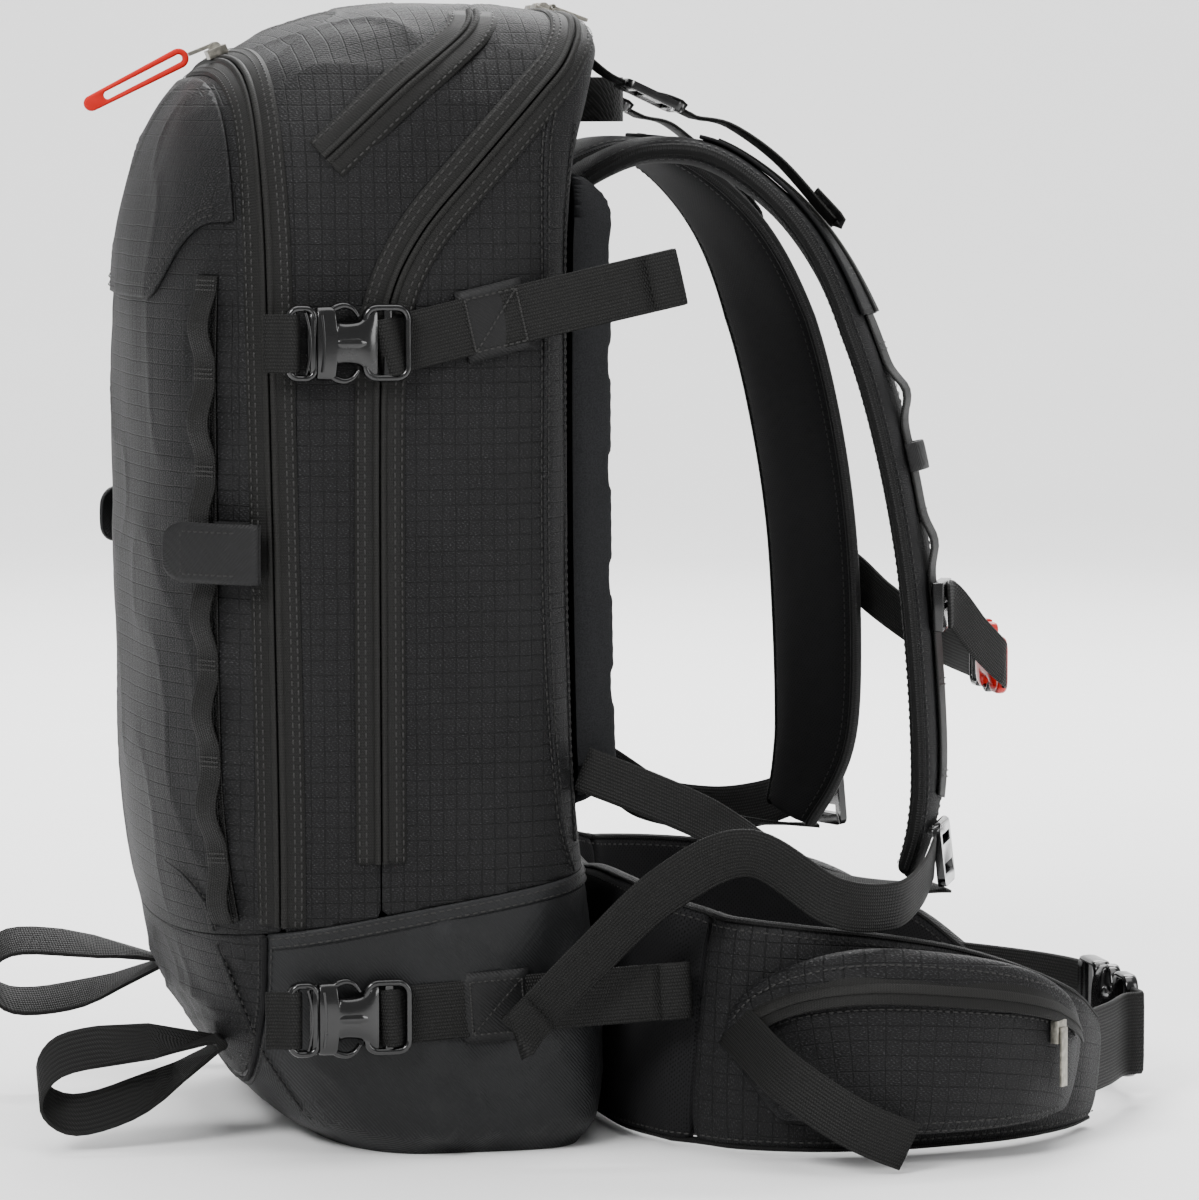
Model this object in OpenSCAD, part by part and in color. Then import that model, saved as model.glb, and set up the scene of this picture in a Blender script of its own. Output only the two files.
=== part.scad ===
// Ski-touring avalanche-tool backpack: a roll-cut fabric body in three shells, a foam harness,
// a wrap-round hip belt and the webbing, zips and buckles that hold it together.
// Frame: origin in the middle of the flat base, +X towards the wearer's back, +Z up, millimetres.
// "right" is the wearer's right, on the -Y side.

/* [Body] */
// Height of the packed body
body_h = 503; // [420:1:600]
// Width across the side panels
body_w = 280; // [240:1:336]
// Depth from the front face to the back seam, half way up
body_d = 186; // [155:1:224]
// Thickness of the lined fabric walls
wall = 3; // [2:0.5:4]
// Height of the coated boot where it meets the front face
boot_front_h = 95; // [70:1:120]
// How much higher the boot stands at the back seam
boot_rise = 30; // [0:1:45]

/* [Zips] */
// Width of one side of a zip tape
tape_w = 11; // [8:0.5:14]
// How far the tapes stand off the fabric
tape_t = 1.2; // [0.8:0.1:2]
// Gap between the two sides of a zip
zip_gap = 0.8; // [0.4:0.1:2]
// Length of a zip slider
slider_l = 11; // [8:0.5:14]
// Free travel of the sliders on top
slider_travel = 45; // [20:1:60]

/* [Webbing and buckles] */
// Width of the compression webbing
web_w = 25; // [20:1:30]
// Thickness of the webbing
web_t = 1.6; // [1.2:0.1:2.2]
// Length of a buckle socket's body, up to its ladder frame
socket_l = 25; // [20:1:32]
// Thickness of a side buckle
buckle_t = 9; // [7.5:0.5:11]
// Width of the hip belt webbing
belt_web_w = 38; // [30:1:45]
// Height of the upper compression strap, as a share of the body's height
upper_strap_share = 0.71; // [0.66:0.01:0.76]
// Height of the lower compression strap above the base
lower_strap_z = 66; // [52:1:75]

/* [Harness] */
// Width of a shoulder pad at the chest
pad_w = 66; // [55:1:80]
// Thickness of a shoulder pad
pad_t = 12; // [9:0.5:16]
// Thickness of the moulded back foam
foam_t = 20; // [14:1:26]
// Width of the moulded back foam
foam_w = 200; // [170:1:225]
// Thickness of the hip belt pads
belt_t = 15; // [12:0.5:20]
// Height of the hip belt at the lumbar pad
belt_h = 112; // [90:1:125]
// Depth of a hip belt pocket
pocket_t = 32; // [20:1:38]

/* [Hidden] */

gap = 0.3;       // clearance between bodies that move past each other
seat = 0.1;      // clearance between pieces sewn or laid together
front_round = 2.5;  // roundness of the front half of a body section
rear_round = 6;     // roundness of the rear half
widest = 0.43;      // where a section is widest, as a share of its depth from the front
ring_n = 48;        // points around a body section

// Body sections from base to crown: height, front and rear as shares of body_h and body_d,
// half width as a share of body_w.
SECTIONS = [
  [0.000, -0.33, 0.31, 0.42], [0.024, -0.42, 0.345, 0.457], [0.06, -0.51, 0.355, 0.479],
  [0.10, -0.585, 0.355, 0.493], [0.19, -0.672, 0.325, 0.5], [0.27, -0.71, 0.30, 0.5],
  [0.36, -0.725, 0.28, 0.5], [0.66, -0.731, 0.27, 0.5], [0.785, -0.72, 0.272, 0.496],
  [0.835, -0.694, 0.28, 0.489], [0.875, -0.66, 0.295, 0.478], [0.91, -0.608, 0.32, 0.46],
  [0.942, -0.52, 0.345, 0.432], [0.962, -0.43, 0.36, 0.395], [0.98, -0.33, 0.34, 0.345],
  [0.994, -0.2, 0.24, 0.26], [1.0, -0.06, 0.1, 0.13]];
function column(k) = [for (s = SECTIONS) [s[0], s[k]]];
FRONT = column(1);
REAR = column(2);
HALF = column(3);

// ---- small functions
function unit(v) = v / norm(v);
function reversed(l) = [for (i = [len(l) - 1:-1:0]) l[i]];
function signed_power(v, n) = (v < 0 ? -1 : 1) * pow(abs(v), 2 / n);
function tangent(p, i) = unit(p[min(i + 1, len(p) - 1)] - p[max(i - 1, 0)]);
function beside(p, d) = [for (i = [0:len(p) - 1]) let (t = tangent(p, i)) p[i] + d * [-t[1], t[0]]];
function head(v) = [v[0], v[1], v[2]];
function curve(p, m) = concat([for (i = [0:len(p) - 2]) for (k = [0:m - 1])
  let (t = k / m, a = p[max(i - 1, 0)], b = p[i], c = p[i + 1], d = p[min(i + 2, len(p) - 1)])
  0.5 * (2 * b + (c - a) * t + (2 * a - 5 * b + 4 * c - d) * t * t
    + (3 * b - a - 3 * c + d) * t * t * t)], [p[len(p) - 1]]);

// ---- the body's outer surface, grown by o
function front_at(z, o = 0) = body_d * lookup(z / body_h, FRONT) - o;
function rear_at(z, o = 0) = body_d * lookup(z / body_h, REAR) + o;
function half_at(z, o = 0) = body_w * lookup(z / body_h, HALF) + o;
function mid_at(z, o = 0) = let (f = front_at(z, o)) f + widest * (rear_at(z, o) - f);
// y of the side panel (positive) at x and z
function side_at(x, z, o = 0) = let (m = mid_at(z, o), f = x < m,
  k = f ? (m - x) / (m - front_at(z, o)) : (x - m) / (rear_at(z, o) - m),
  n = f ? front_round : rear_round)
  half_at(z, o) * pow(max(0, 1 - pow(min(1, k), n)), 1 / n);
// x of the front face and of the back face at y and z
function face_at(y, z, o = 0) = let (m = mid_at(z, o), k = abs(y) / half_at(z, o))
  m - (m - front_at(z, o)) * pow(max(0, 1 - pow(min(1, k), front_round)), 1 / front_round);
function back_at(y, z, o = 0) = let (m = mid_at(z, o), k = abs(y) / half_at(z, o))
  m + (rear_at(z, o) - m) * pow(max(0, 1 - pow(min(1, k), rear_round)), 1 / rear_round);
// z of the crown at x and y, by halving
function covers(x, y, z) = x > front_at(z) && x < rear_at(z) && abs(y) < side_at(x, z);
function crown_at(x, y, lo = 0.8, hi = 1, n = 14) = n == 0 ? lo * body_h
  : let (m = (lo + hi) / 2) covers(x, y, m * body_h) ? crown_at(x, y, m, hi, n - 1)
  : crown_at(x, y, lo, m, n - 1);

function section(z, o) = let (f = front_at(z, o), r = rear_at(z, o), b = half_at(z, o),
  m = mid_at(z, o), up = z + o * (2 * z / body_h - 1))
  [for (j = [0:ring_n - 1]) let (a = 360 * j / ring_n, n = cos(a) < 0 ? front_round : rear_round)
    [m + (cos(a) < 0 ? m - f : r - m) * signed_power(cos(a), n), b * signed_power(sin(a), n), up]];

// A closed solid through rings of equal length, each seen anticlockwise from the last one's end.
module loft(rings) {
  n = len(rings[0]);
  m = len(rings);
  sides = [for (i = [0:m - 2]) for (j = [0:n - 1]) let (k = (j + 1) % n)
    each [[i * n + j, (i + 1) * n + j, (i + 1) * n + k], [i * n + j, (i + 1) * n + k, i * n + k]]];
  polyhedron([for (r = rings) each r],
    concat(sides, [[for (j = [0:n - 1]) j], [for (j = [n - 1:-1:0]) (m - 1) * n + j]]));
}
module body(o) {
  levels = concat([for (s = SECTIONS) s[0]], [0.05, 0.14, 0.46, 0.56, 0.72]);
  loft([for (s = sorted(levels)) section(s * body_h, o)]);
}
function sorted(l) = len(l) < 2 ? l : let (p = l[0], rest = [for (i = [1:len(l) - 1]) l[i]])
  concat(sorted([for (v = rest) if (v < p) v]), [p], sorted([for (v = rest) if (v >= p) v]));

// Everything over a side-view outline, right across the body.
module across_body() { rotate([90, 0, 0]) linear_extrude(2 * body_w, center = true) children(); }
module upright(length) { rotate([90, 0, 0]) linear_extrude(length, center = true) children(); }
module ribbon(p, t) { polygon(concat(beside(p, t / 2), reversed(beside(p, -t / 2)))); }
// Marks a subtree that is cut as one mesh.
module one_mesh() { resize([0, 0, 0]) children(); }
module both_sides() {
  children();
  mirror([0, 1, 0]) children();
}

// Flat webbing along a curve: each point is x, y, z, and across is the direction of its width.
module strap(points, across, w, t = web_t, steps = 4) {
  p = curve(points, steps);
  a = is_list(across[0]) ? curve(across, steps) : [for (q = p) across];
  loft([for (i = [0:len(p) - 1]) let (d = tangent(p, i), u = unit(a[i] - (a[i] * d) * d),
    n = cross(d, u)) [for (c = [[1, 1], [-1, 1], [-1, -1], [1, -1]])
      p[i] + u * c[0] * w / 2 + n * c[1] * t / 2]]);
}
// A stuffed pad along a curve: each point is x, y, z, width, thickness. An upright one keeps
// its sections vertical.
module padded(points, across, steps = 4, sides = 14, square = 4, upright = false) {
  p = curve(points, steps);
  c = [for (q = p) head(q)];
  a = is_list(across[0]) ? curve(across, steps) : [for (q = p) across];
  loft([for (i = [0:len(p) - 1]) let (t = tangent(c, i), d = upright ? unit([t[0], t[1], 0]) : t,
    u = unit(a[i] - (a[i] * d) * d), n = cross(d, u)) [for (j = [0:sides - 1]) let (t = 360 * j / sides)
      c[i] + u * signed_power(cos(t), square) * p[i][3] / 2
        + n * signed_power(sin(t), square * 0.7) * p[i][4] / 2]]);
}

// ---- where the body is cut
fold_slope = boot_rise / (body_d * 1.0);
front_foot = face_at(0, boot_front_h);
function fold_at(x) = boot_front_h + fold_slope * (x - front_foot);
main_zip_x = -0.226 * body_d;
front_zip_x = -0.452 * body_d;
function front_zip_at(z) = front_zip_x - 0.018 * (z - boot_front_h);
MAIN_ZIP = curve([[main_zip_x, 0], [main_zip_x, 0.25 * body_h], [main_zip_x, 0.66 * body_h],
  [-0.205 * body_d, 0.74 * body_h], [-0.13 * body_d, 0.80 * body_h], [0.01 * body_d, 0.86 * body_h],
  [0.15 * body_d, 0.915 * body_h], [0.25 * body_d, 0.955 * body_h], [0.30 * body_d, 1.0 * body_h],
  [0.31 * body_d, 1.1 * body_h]], 3);
FRONT_ZIP = [[front_zip_at(0), 0], [front_zip_at(1.1 * body_h), 1.1 * body_h]];
far = 2 * body_d;

module over_fold(o) {
  polygon([[-far, fold_at(-far) + o], [far, fold_at(far) + o], [far, 2 * body_h], [-far, 2 * body_h]]);
}
module behind(line, o) { polygon(concat(beside(line, -o), [[far, 1.1 * body_h], [far, 0]])); }
module ahead(line, o) { polygon(concat(beside(line, o), [[-far, 1.1 * body_h], [-far, 0]])); }
module shell(o = 0) {
  difference() {
    body(o);
    body(-wall);
  }
}
// The part of the body's skin that stands proud under a side-view outline.
module skin(t) {
  one_mesh() intersection() {
    difference() {
      body(t);
      body(seat);
    }
    across_body() children();
  }
}

module rear_shell() {
  color([0.10, 0.10, 0.11]) one_mesh() intersection() {
    shell();
    across_body() intersection() {
      over_fold(0);
      behind(MAIN_ZIP, zip_gap / 2);
    }
  }
}
module base_tub() {
  color([0.13, 0.14, 0.14]) one_mesh() intersection() {
    shell();
    across_body() difference() {
      translate([-far, -1]) square([2 * far, body_h]);
      over_fold(-seat);
    }
  }
}
module front_section_shell() {
  color([0.10, 0.10, 0.11]) one_mesh() intersection() {
    shell();
    across_body() intersection() {
      over_fold(gap);
      ahead(MAIN_ZIP, zip_gap / 2);
      behind(FRONT_ZIP, zip_gap / 2);
    }
  }
}
module lid_shell() {
  color([0.11, 0.11, 0.12]) one_mesh() intersection() {
    shell();
    across_body() intersection() {
      over_fold(gap);
      ahead(FRONT_ZIP, zip_gap / 2);
    }
  }
}
divider_t = 2;
module divider_panel() {
  color([0.14, 0.14, 0.15]) one_mesh() intersection() {
    body(-wall - seat);
    across_body() intersection() {
      over_fold(gap + 0.5);
      behind(FRONT_ZIP, zip_gap / 2);
      ahead(FRONT_ZIP, -zip_gap / 2 - divider_t);
    }
  }
}
// Two flat sleeves for a shovel shaft and a probe, sewn to the divider inside the tool pocket.
sleeve_w = 62;
sleeve_t = 2.5;
module tool_sleeves() {
  low = fold_at(front_zip_x) + 12;
  high = 0.72 * body_h;
  color([0.45, 0.06, 0.05]) for (y = [-0.16, 0.12]) translate([0, y * body_w, 0]) upright(sleeve_w)
    polygon([for (q = [[0, low], [-sleeve_t, low], [-sleeve_t, high], [0, high]])
      [front_zip_at(q[1]) + zip_gap / 2 - seat + q[0], q[1]]]);
}
module pocket_divider() {
  divider_panel();
  tool_sleeves();
}

// ---- zips: one tape each side of a cut
main_zip_foot = 0.262 * body_h;
module tape_side(line, o, foot) {
  intersection() {
    ribbon(beside(line, o), tape_w);
    translate([-far, foot]) square([2 * far, body_h * 1.2]);
  }
}
tape_o = (tape_w + zip_gap) / 2;
module main_zip_rear_tape() {
  color([0.06, 0.06, 0.06]) skin(tape_t) tape_side(MAIN_ZIP, -tape_o, main_zip_foot);
}
module section_zip_tapes() {
  color([0.06, 0.06, 0.06]) {
    skin(tape_t) tape_side(MAIN_ZIP, tape_o, main_zip_foot);
    skin(tape_t) tape_side(FRONT_ZIP, -tape_o, fold_at(front_zip_x) + 3);
  }
}
module front_zip_tape() {
  color([0.06, 0.06, 0.06]) skin(tape_t) tape_side(FRONT_ZIP, tape_o, fold_at(front_zip_x) + 3);
}
// The goggle pocket's zip rises up both sides and crosses the crown.
GOGGLE_ZIP = [[-0.345 * body_d, 0.865 * body_h], [-0.16 * body_d, 0.925 * body_h],
  [0.02 * body_d, 0.975 * body_h], [0.06 * body_d, 1.1 * body_h]];
module goggle_zip() {
  color([0.06, 0.06, 0.06]) skin(tape_t) ribbon(curve(GOGGLE_ZIP, 4), 2 * tape_w);
}
slider_w = 9;
slider_t = 4;
// A slider astride a zip, travelling along Y, with its pull laid back.
module slider() {
  translate([-slider_w / 2, -slider_l / 2, 0]) cube([slider_w, slider_l, slider_t]);
  translate([0, 0, slider_t]) rotate([90, 0, 0])
    cylinder(r = 2.6, h = slider_l * 0.6, center = true, $fn = 24);
}
main_slider_x = 0.295 * body_d;
main_slider_z = crown_at(main_slider_x, 0) + tape_t + gap + 0.6;
main_tilt = 20;
eye_x = 4;   // the pull's hinge, ahead of the slider's bridge
eye_z = slider_t + 1.8;
module at_main_slider(side) {
  translate([main_slider_x, side * (slider_l / 2 + 1), main_slider_z]) rotate([0, main_tilt, 0]) children();
}
module main_slider(side) { color([0.35, 0.34, 0.30]) at_main_slider(side) slider(); }
// A pull: a flat tab with a round eye at its hinge, lying towards +X.
module pull_tab(l, w) {
  difference() {
    union() {
      rotate([90, 0, 0]) cylinder(r = 1.5, h = w, center = true, $fn = 24);
      translate([0, -w / 2, -0.8]) cube([l, w, 1.6]);
    }
    rotate([90, 0, 0]) cylinder(r = 0.7, h = 2 * w, center = true, $fn = 24);
  }
}
module main_pull(side) {
  color([0.35, 0.34, 0.30]) at_main_slider(side) translate([eye_x, 0, eye_z]) pull_tab(17, 6);
}
front_slider_x = front_zip_at(0.95 * body_h);
front_slider_z = crown_at(front_slider_x, 0) + tape_t + gap + 1.4;
front_tilt = -22;
module front_slider() {
  color([0.35, 0.34, 0.30]) translate([front_slider_x, 0, front_slider_z]) rotate([0, front_tilt, 0]) {
    slider();
    translate([-12, -2.5, slider_t + 0.8]) cube([12, 5, 1.6]);
  }
}
// The red cord pull stands off forward of the lid, hinged at the slider's tab.
pull_l = 44;
pull_droop = 27;
pull_r = 4.5;
pull_x = front_slider_x + (-12.5 - pull_r) * cos(front_tilt) + (slider_t + 1.6) * sin(front_tilt);
pull_z = front_slider_z - (-12.5 - pull_r) * sin(front_tilt) + (slider_t + 1.6) * cos(front_tilt);
module front_pull() {
  color([0.80, 0.05, 0.03]) translate([pull_x, 0, pull_z]) rotate([90, 0, 0]) rotate([0, 0, pull_droop])
    linear_extrude(4, center = true) difference() {
      hull() {
        circle(r = pull_r, $fn = 32);
        translate([-pull_l, 0]) circle(r = 3.5, $fn = 32);
      }
      hull() for (x = [0, 8 - pull_l]) translate([x, 0]) circle(r = 1.8, $fn = 32);
    }
}

// ---- the back: foam, frame and lining
foam_low = 0.295 * body_h;
foam_high = 0.852 * body_h;
yoke_z = 0.80 * body_h;      // below this the foam runs full width
yoke_w = 0.56 * body_w;      // room for both shoulder pads above it
function back_line(o, lo, hi) = concat([[rear_at(lo) + o, lo]],
  [for (s = SECTIONS) let (z = s[0] * body_h) if (z > lo && z < hi) [rear_at(z) + o, z]],
  [[rear_at(hi) + o, hi]]);
module rounded(w, h, r) { offset(r = r, $fn = 48) square([w - 2 * r, h - 2 * r], center = true); }
module back_foam() {
  mid = (foam_low + foam_high) / 2;
  color([0.13, 0.13, 0.14]) difference() {
    intersection() {
      upright(foam_w) polygon(concat(back_line(seat, foam_low, foam_high),
        reversed(back_line(foam_t, foam_low, foam_high))));
      translate([0, 0, mid]) rotate([90, 0, 90]) linear_extrude(body_d)
        rounded(foam_w, foam_high - foam_low, 24);
    }
    translate([0, -yoke_w / 2, yoke_z]) cube([body_d, yoke_w, body_h]);
    // ventilation channels: one up the middle and a row of slanted ones each side
    translate([rear_at(mid) + foam_t - 7, -9, foam_low - 1]) cube([20, 18, body_h]);
    both_sides() for (i = [0:4])
      translate([rear_at(mid) + foam_t - 6, 52, foam_low + 34 + i * 48]) rotate([28, 0, 0])
        cube([20, 70, 9], center = true);
  }
}
// The frame sheet's edges lie against the shell where its back starts to round.
sheet_edge = 0.45 * foam_w;
sheet_o = -wall - 1.01 - rear_at(0.5 * body_h) + back_at(sheet_edge, 0.5 * body_h);
module inner_panel(o, w, t, lo, hi) {
  upright(w) polygon(concat(back_line(o - t, lo, hi), reversed(back_line(o, lo, hi))));
}
sheet_t = 1.6;
stay_t = 3;
stay_w = 20;
lining_t = 1.2;
module frame_sheet() {
  color([0.75, 0.75, 0.72]) inner_panel(sheet_o, 2 * sheet_edge, sheet_t, 0.05 * body_h, 0.86 * body_h);
}
module frame_stays() {
  color([0.72, 0.73, 0.75]) for (y = [-0.16, 0.16]) translate([0, y * body_w, 0])
    inner_panel(sheet_o - sheet_t - seat, stay_w, stay_t, 0.06 * body_h, 0.85 * body_h);
}
module lining_sleeves() {
  // the sleeve that holds the sheet and stays, and the water bladder's sleeve in front of it
  color([0.5, 0.5, 0.5]) inner_panel(sheet_o - sheet_t - stay_t - 2 * seat, foam_w * 0.95,
    lining_t, 0.045 * body_h, 0.865 * body_h);
  color([0.42, 0.42, 0.43]) inner_panel(sheet_o - sheet_t - stay_t - lining_t - 3 * seat,
    foam_w * 0.8, lining_t, 0.06 * body_h, 0.66 * body_h);
}

// ---- compression straps and their buckles, right side, drawn about the buckle's parting line
parting_x = -0.382 * body_d;
upper_strap_z = upper_strap_share * body_h;
latch_base = 11;
frame_l = 15;
function strap_y(z) = -(side_at(-0.3 * body_d, z) + tape_t + gap + buckle_t / 2 + 1.4);
buckle_w = web_w + 8;
module window(x, l, w) { translate([x, -w / 2]) square([l, w]); }
// Socket: hollow body open at its mouth, side windows, then a ladder frame with two slots.
module socket_shape(w, body_l, frame_len, t) {
  difference() {
    union() {
      linear_extrude(t, center = true) hull() {
        translate([0.6, -w / 2]) square([1, w]);
        translate([body_l - 5, -w / 2 + 2]) square([1, w - 4]);
      }
      linear_extrude(t * 0.62, center = true) hull() for (s = [-1, 1]) {
        translate([body_l - 4, s * (w / 2 - 5)]) circle(r = 3, $fn = 32);
        translate([body_l + frame_len - 4, s * (w / 2 - 4)]) circle(r = 4, $fn = 32);
      }
    }
    translate([-1, -w / 2 + 3, -t / 2 + 1.8]) cube([body_l - 3, w - 6, t - 3.6]);
    for (s = [-1, 1]) translate([7, s * w / 2 - 3.5, -t / 2 + 1.5]) cube([9, 7, t - 3]);
    translate([0, 0, -t]) linear_extrude(2 * t) {
      window(body_l + 1, 3.4, w - 8);
      window(body_l + frame_len - 6.6, 3.4, w - 8);
    }
  }
}
// Latch: the part outside the socket, with the bar that holds its webbing.
module latch_base_shape(w, l, t) {
  difference() {
    linear_extrude(t, center = true) hull() {
      translate([-l, -w / 2 + 2]) square([1, w - 4]);
      translate([-1, -w / 2]) square([0.6, w]);
    }
    translate([0, 0, -t]) linear_extrude(2 * t) window(-l + 3, 3.2, w - 8);
  }
}
// The sprung prongs and centre tongue that go into the socket.
module prongs_shape(w, l, t) {
  for (s = [-1, 1]) translate([-0.4, s * (w / 2 - 5.6) - 1.8, -t / 2 + 2.2]) cube([l, 3.6, t - 4.4]);
  translate([-0.4, -2.5, -t / 2 + 2.2]) cube([l * 0.8, 5, t - 4.4]);
}
module at_buckle(z) { translate([parting_x, strap_y(z), z]) rotate([90, 0, 0]) children(); }
prong_l = socket_l - 7;
module side_latch(z) {
  color([0.05, 0.05, 0.05]) at_buckle(z) latch_base_shape(buckle_w, latch_base, buckle_t * 0.8);
  // the short webbing that is sewn into the front seam
  color([0.07, 0.07, 0.06]) {
    stub_l = 13;
    x0 = parting_x - latch_base + 1.2;
    translate([x0 - stub_l, strap_y(z) - web_t / 2, z - web_w / 2]) cube([stub_l, web_t, web_w]);
  }
}
module side_prongs(z) {
  color([0.05, 0.05, 0.05]) at_buckle(z) prongs_shape(buckle_w, prong_l, buckle_t);
}
module side_buckle_sockets() {
  color([0.05, 0.05, 0.05]) both_sides() for (z = [upper_strap_z, lower_strap_z])
    at_buckle(z) socket_shape(buckle_w, socket_l, frame_l, buckle_t);
}
// Webbing from the socket's end bar, sewn down under a patch, with a free tail behind it.
frame_x = parting_x + socket_l + frame_l;
patch_x = -0.03 * body_d;
patch_w = 24;
upper_tail = 0.475 * body_d;
lower_tail = 0.50 * body_d;
module along_strap(z, rise) { translate([frame_x, 0, z]) rotate([0, -atan(rise), 0]) children(); }
module strap_run(z, tail_x, rise) {
  y = strap_y(z);
  sewn = -side_at(patch_x, z) - 1.5;
  p = patch_x - frame_x;
  along_strap(z, rise) linear_extrude(web_w, center = true)
    ribbon([[-13, y + 4.1], [2, y + 4.1], [p, sewn], [p + 30, sewn], [p + 55, sewn - 1.5],
      [tail_x - frame_x, sewn - 5]], web_t);
}
module patch(z, rise) {
  y = -side_at(patch_x, z) - 1.5 - web_t / 2 - 1.1;
  along_strap(z, rise) translate([patch_x - frame_x + patch_w * 0.55, y, 0])
    cube([patch_w, 1.6, web_w + 2], center = true);
}
strap_rise = 0.23;
module compression_straps() {
  both_sides() {
    color([0.07, 0.07, 0.06]) {
      strap_run(upper_strap_z, upper_tail, strap_rise);
      strap_run(lower_strap_z, lower_tail, 0.06);
    }
    color([0.08, 0.08, 0.08]) {
      patch(upper_strap_z, strap_rise);
      patch(lower_strap_z, 0.06);
    }
  }
}

// ---- lid trim: daisy chains of bar-tacked webbing, and the leaf behind each shaft keeper
daisy_w = 13;
daisy_pitch = 42;
daisy_bow = 5;
function daisy_y(z) = half_at(z) * 0.80;
function daisy_out(z) = let (y = daisy_y(z), e = 0.5)
  unit([-(1), -(face_at(y + e, z) - face_at(y - e, z)) / (2 * e) * -1, 0]);
daisy_low = fold_at(front_zip_x) + 8;
daisy_high = 0.765 * body_h;
keeper_z = 0.53 * body_h;
keeper_h = 26;
module daisy_chain() {
  n = floor((daisy_high - daisy_low) / daisy_pitch);
  steps = n * 6;
  rings = [for (i = [0:steps]) let (z = daisy_low + (daisy_high - daisy_low) * i / steps,
    y = daisy_y(z), out = [daisy_out(z)[0], daisy_out(z)[1], 0],
    side = [-out[1], out[0], 0], c = [face_at(y, z), y, z],
    bow = 0.6 + daisy_bow * pow(abs(sin(180 * n * i / steps)), 0.8))
    [for (q = [[1, 0], [-1, 0], [-1, 1], [1, 1]])
      c + out * (bow + q[1] * 1.4) + side * q[0] * daisy_w / 2]];
  loft(rings);
}
keeper_y = 0.43 * body_w;
keeper_d = 26;   // how far forward of its root the keeper folds
keeper_lift = 10.5;
// Puts +X along the lid towards the front and +Y into the lid, at the keeper's root.
module at_keeper() {
  e = 3;
  a = atan2(2 * e, face_at(keeper_y + e, keeper_z) - face_at(keeper_y - e, keeper_z));
  translate([face_at(keeper_y, keeper_z), keeper_y, keeper_z]) rotate([0, 0, 180 + a]) children();
}
module keeper_leaf(points) {
  at_keeper() translate([0, 0, -keeper_h / 2]) linear_extrude(keeper_h) ribbon(curve(points, 4), 1.6);
}
// The keeper's lower leaf, sewn beside the chain and folded at its front end.
module keeper_base() {
  color([0.12, 0.13, 0.13]) keeper_leaf([[-5, -0.9], [-3.5, -6], [1, -9.8], [12, -keeper_lift],
    [keeper_d, -keeper_lift - 0.5]]);
}
module lid_webbing() {
  color([0.07, 0.07, 0.06]) both_sides() daisy_chain();
  both_sides() keeper_base();
}
// The keeper's upper leaf, laid back over the lower one; it opens about the fold.
module shaft_keeper() {
  color([0.12, 0.13, 0.13]) keeper_leaf([[keeper_d, -keeper_lift - 2.6], [8, -keeper_lift - 2.6],
    [-10, -keeper_lift - 1.8], [-24, -keeper_lift + 1]]);
}

// ---- ice axe loops: teardrops of webbing at the foot of the front face
loop_w = 20;
loop_l = 82;
root_r = 2.4;
function loop_root(y, z) = [face_at(y, z) - root_r - 2.8, y, z];
module axe_loop(y, z, tilt) {
  color([0.07, 0.07, 0.06]) translate(loop_root(y, z)) rotate([0, tilt, 0]) {
    rotate([90, 0, 0]) cylinder(r = root_r, h = loop_w, center = true, $fn = 32);
    upright(loop_w) ribbon(concat(curve([[0, -1.3], [-loop_l * 0.45, -13], [-loop_l * 0.85, -14],
      [-loop_l, 0], [-loop_l * 0.85, 13], [-loop_l * 0.45, 10], [0, 1.3]], 5)), 1.6);
  }
}
axe_y = 0.27 * body_w;
axe_z = 46;

// ---- haul handle on the crown's rear edge
haul_half = 37;
haul_w = 20;
haul_z = 0.936 * body_h;
haul_x = back_at(haul_half, haul_z) + 0.7;
// A band that stands out from the back; its upper edge is the line it lifts about.
module haul_handle() {
  color([0.07, 0.07, 0.06]) translate([haul_x, 0, haul_z - haul_w]) linear_extrude(haul_w)
    ribbon(curve([[0, -haul_half], [12, -haul_half + 2], [26, -haul_half * 0.5],
      [26, haul_half * 0.5], [12, haul_half - 2], [0, haul_half]], 4), 2);
}

// ---- shoulder harness, right side
// A pad leaves the back, arches over the shoulder and ends above the hip belt.
PAD = [[58, -42, 421, 56, 9], [74, -45, 431, 60, 11], [95, -51, 438, 62, 12], [122, -60, 435, 64, 12],
  [149, -70, 416, 66, 12], [170, -78, 389, 66, 12], [187, -85, 350, 66, 12], [199, -90, 305, 66, 12],
  [207, -94, 258, 65, 12], [211, -98, 210, 64, 12], [212, -102, 165, 60, 12], [208, -106, 138, 50, 11],
  [201, -108, 118, 38, 9]];
pad_turn = 23;   // how far a pad's face turns in towards the chest
function harness(q) = [rear_at(0.84 * body_h) + q[0] - 52, q[1], q[2] * body_h / 503];
function pad_points() = [for (q = PAD) [each harness(q), q[3] * pad_w / 66, q[4] * pad_t / 12]];
PAD_ACROSS = [for (i = [0:len(PAD) - 1]) let (a = pad_turn * min(1, i / 5)) [sin(a), cos(a), 0]];
module shoulder_pad() { color([0.11, 0.11, 0.12]) padded(pad_points(), PAD_ACROSS); }
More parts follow.
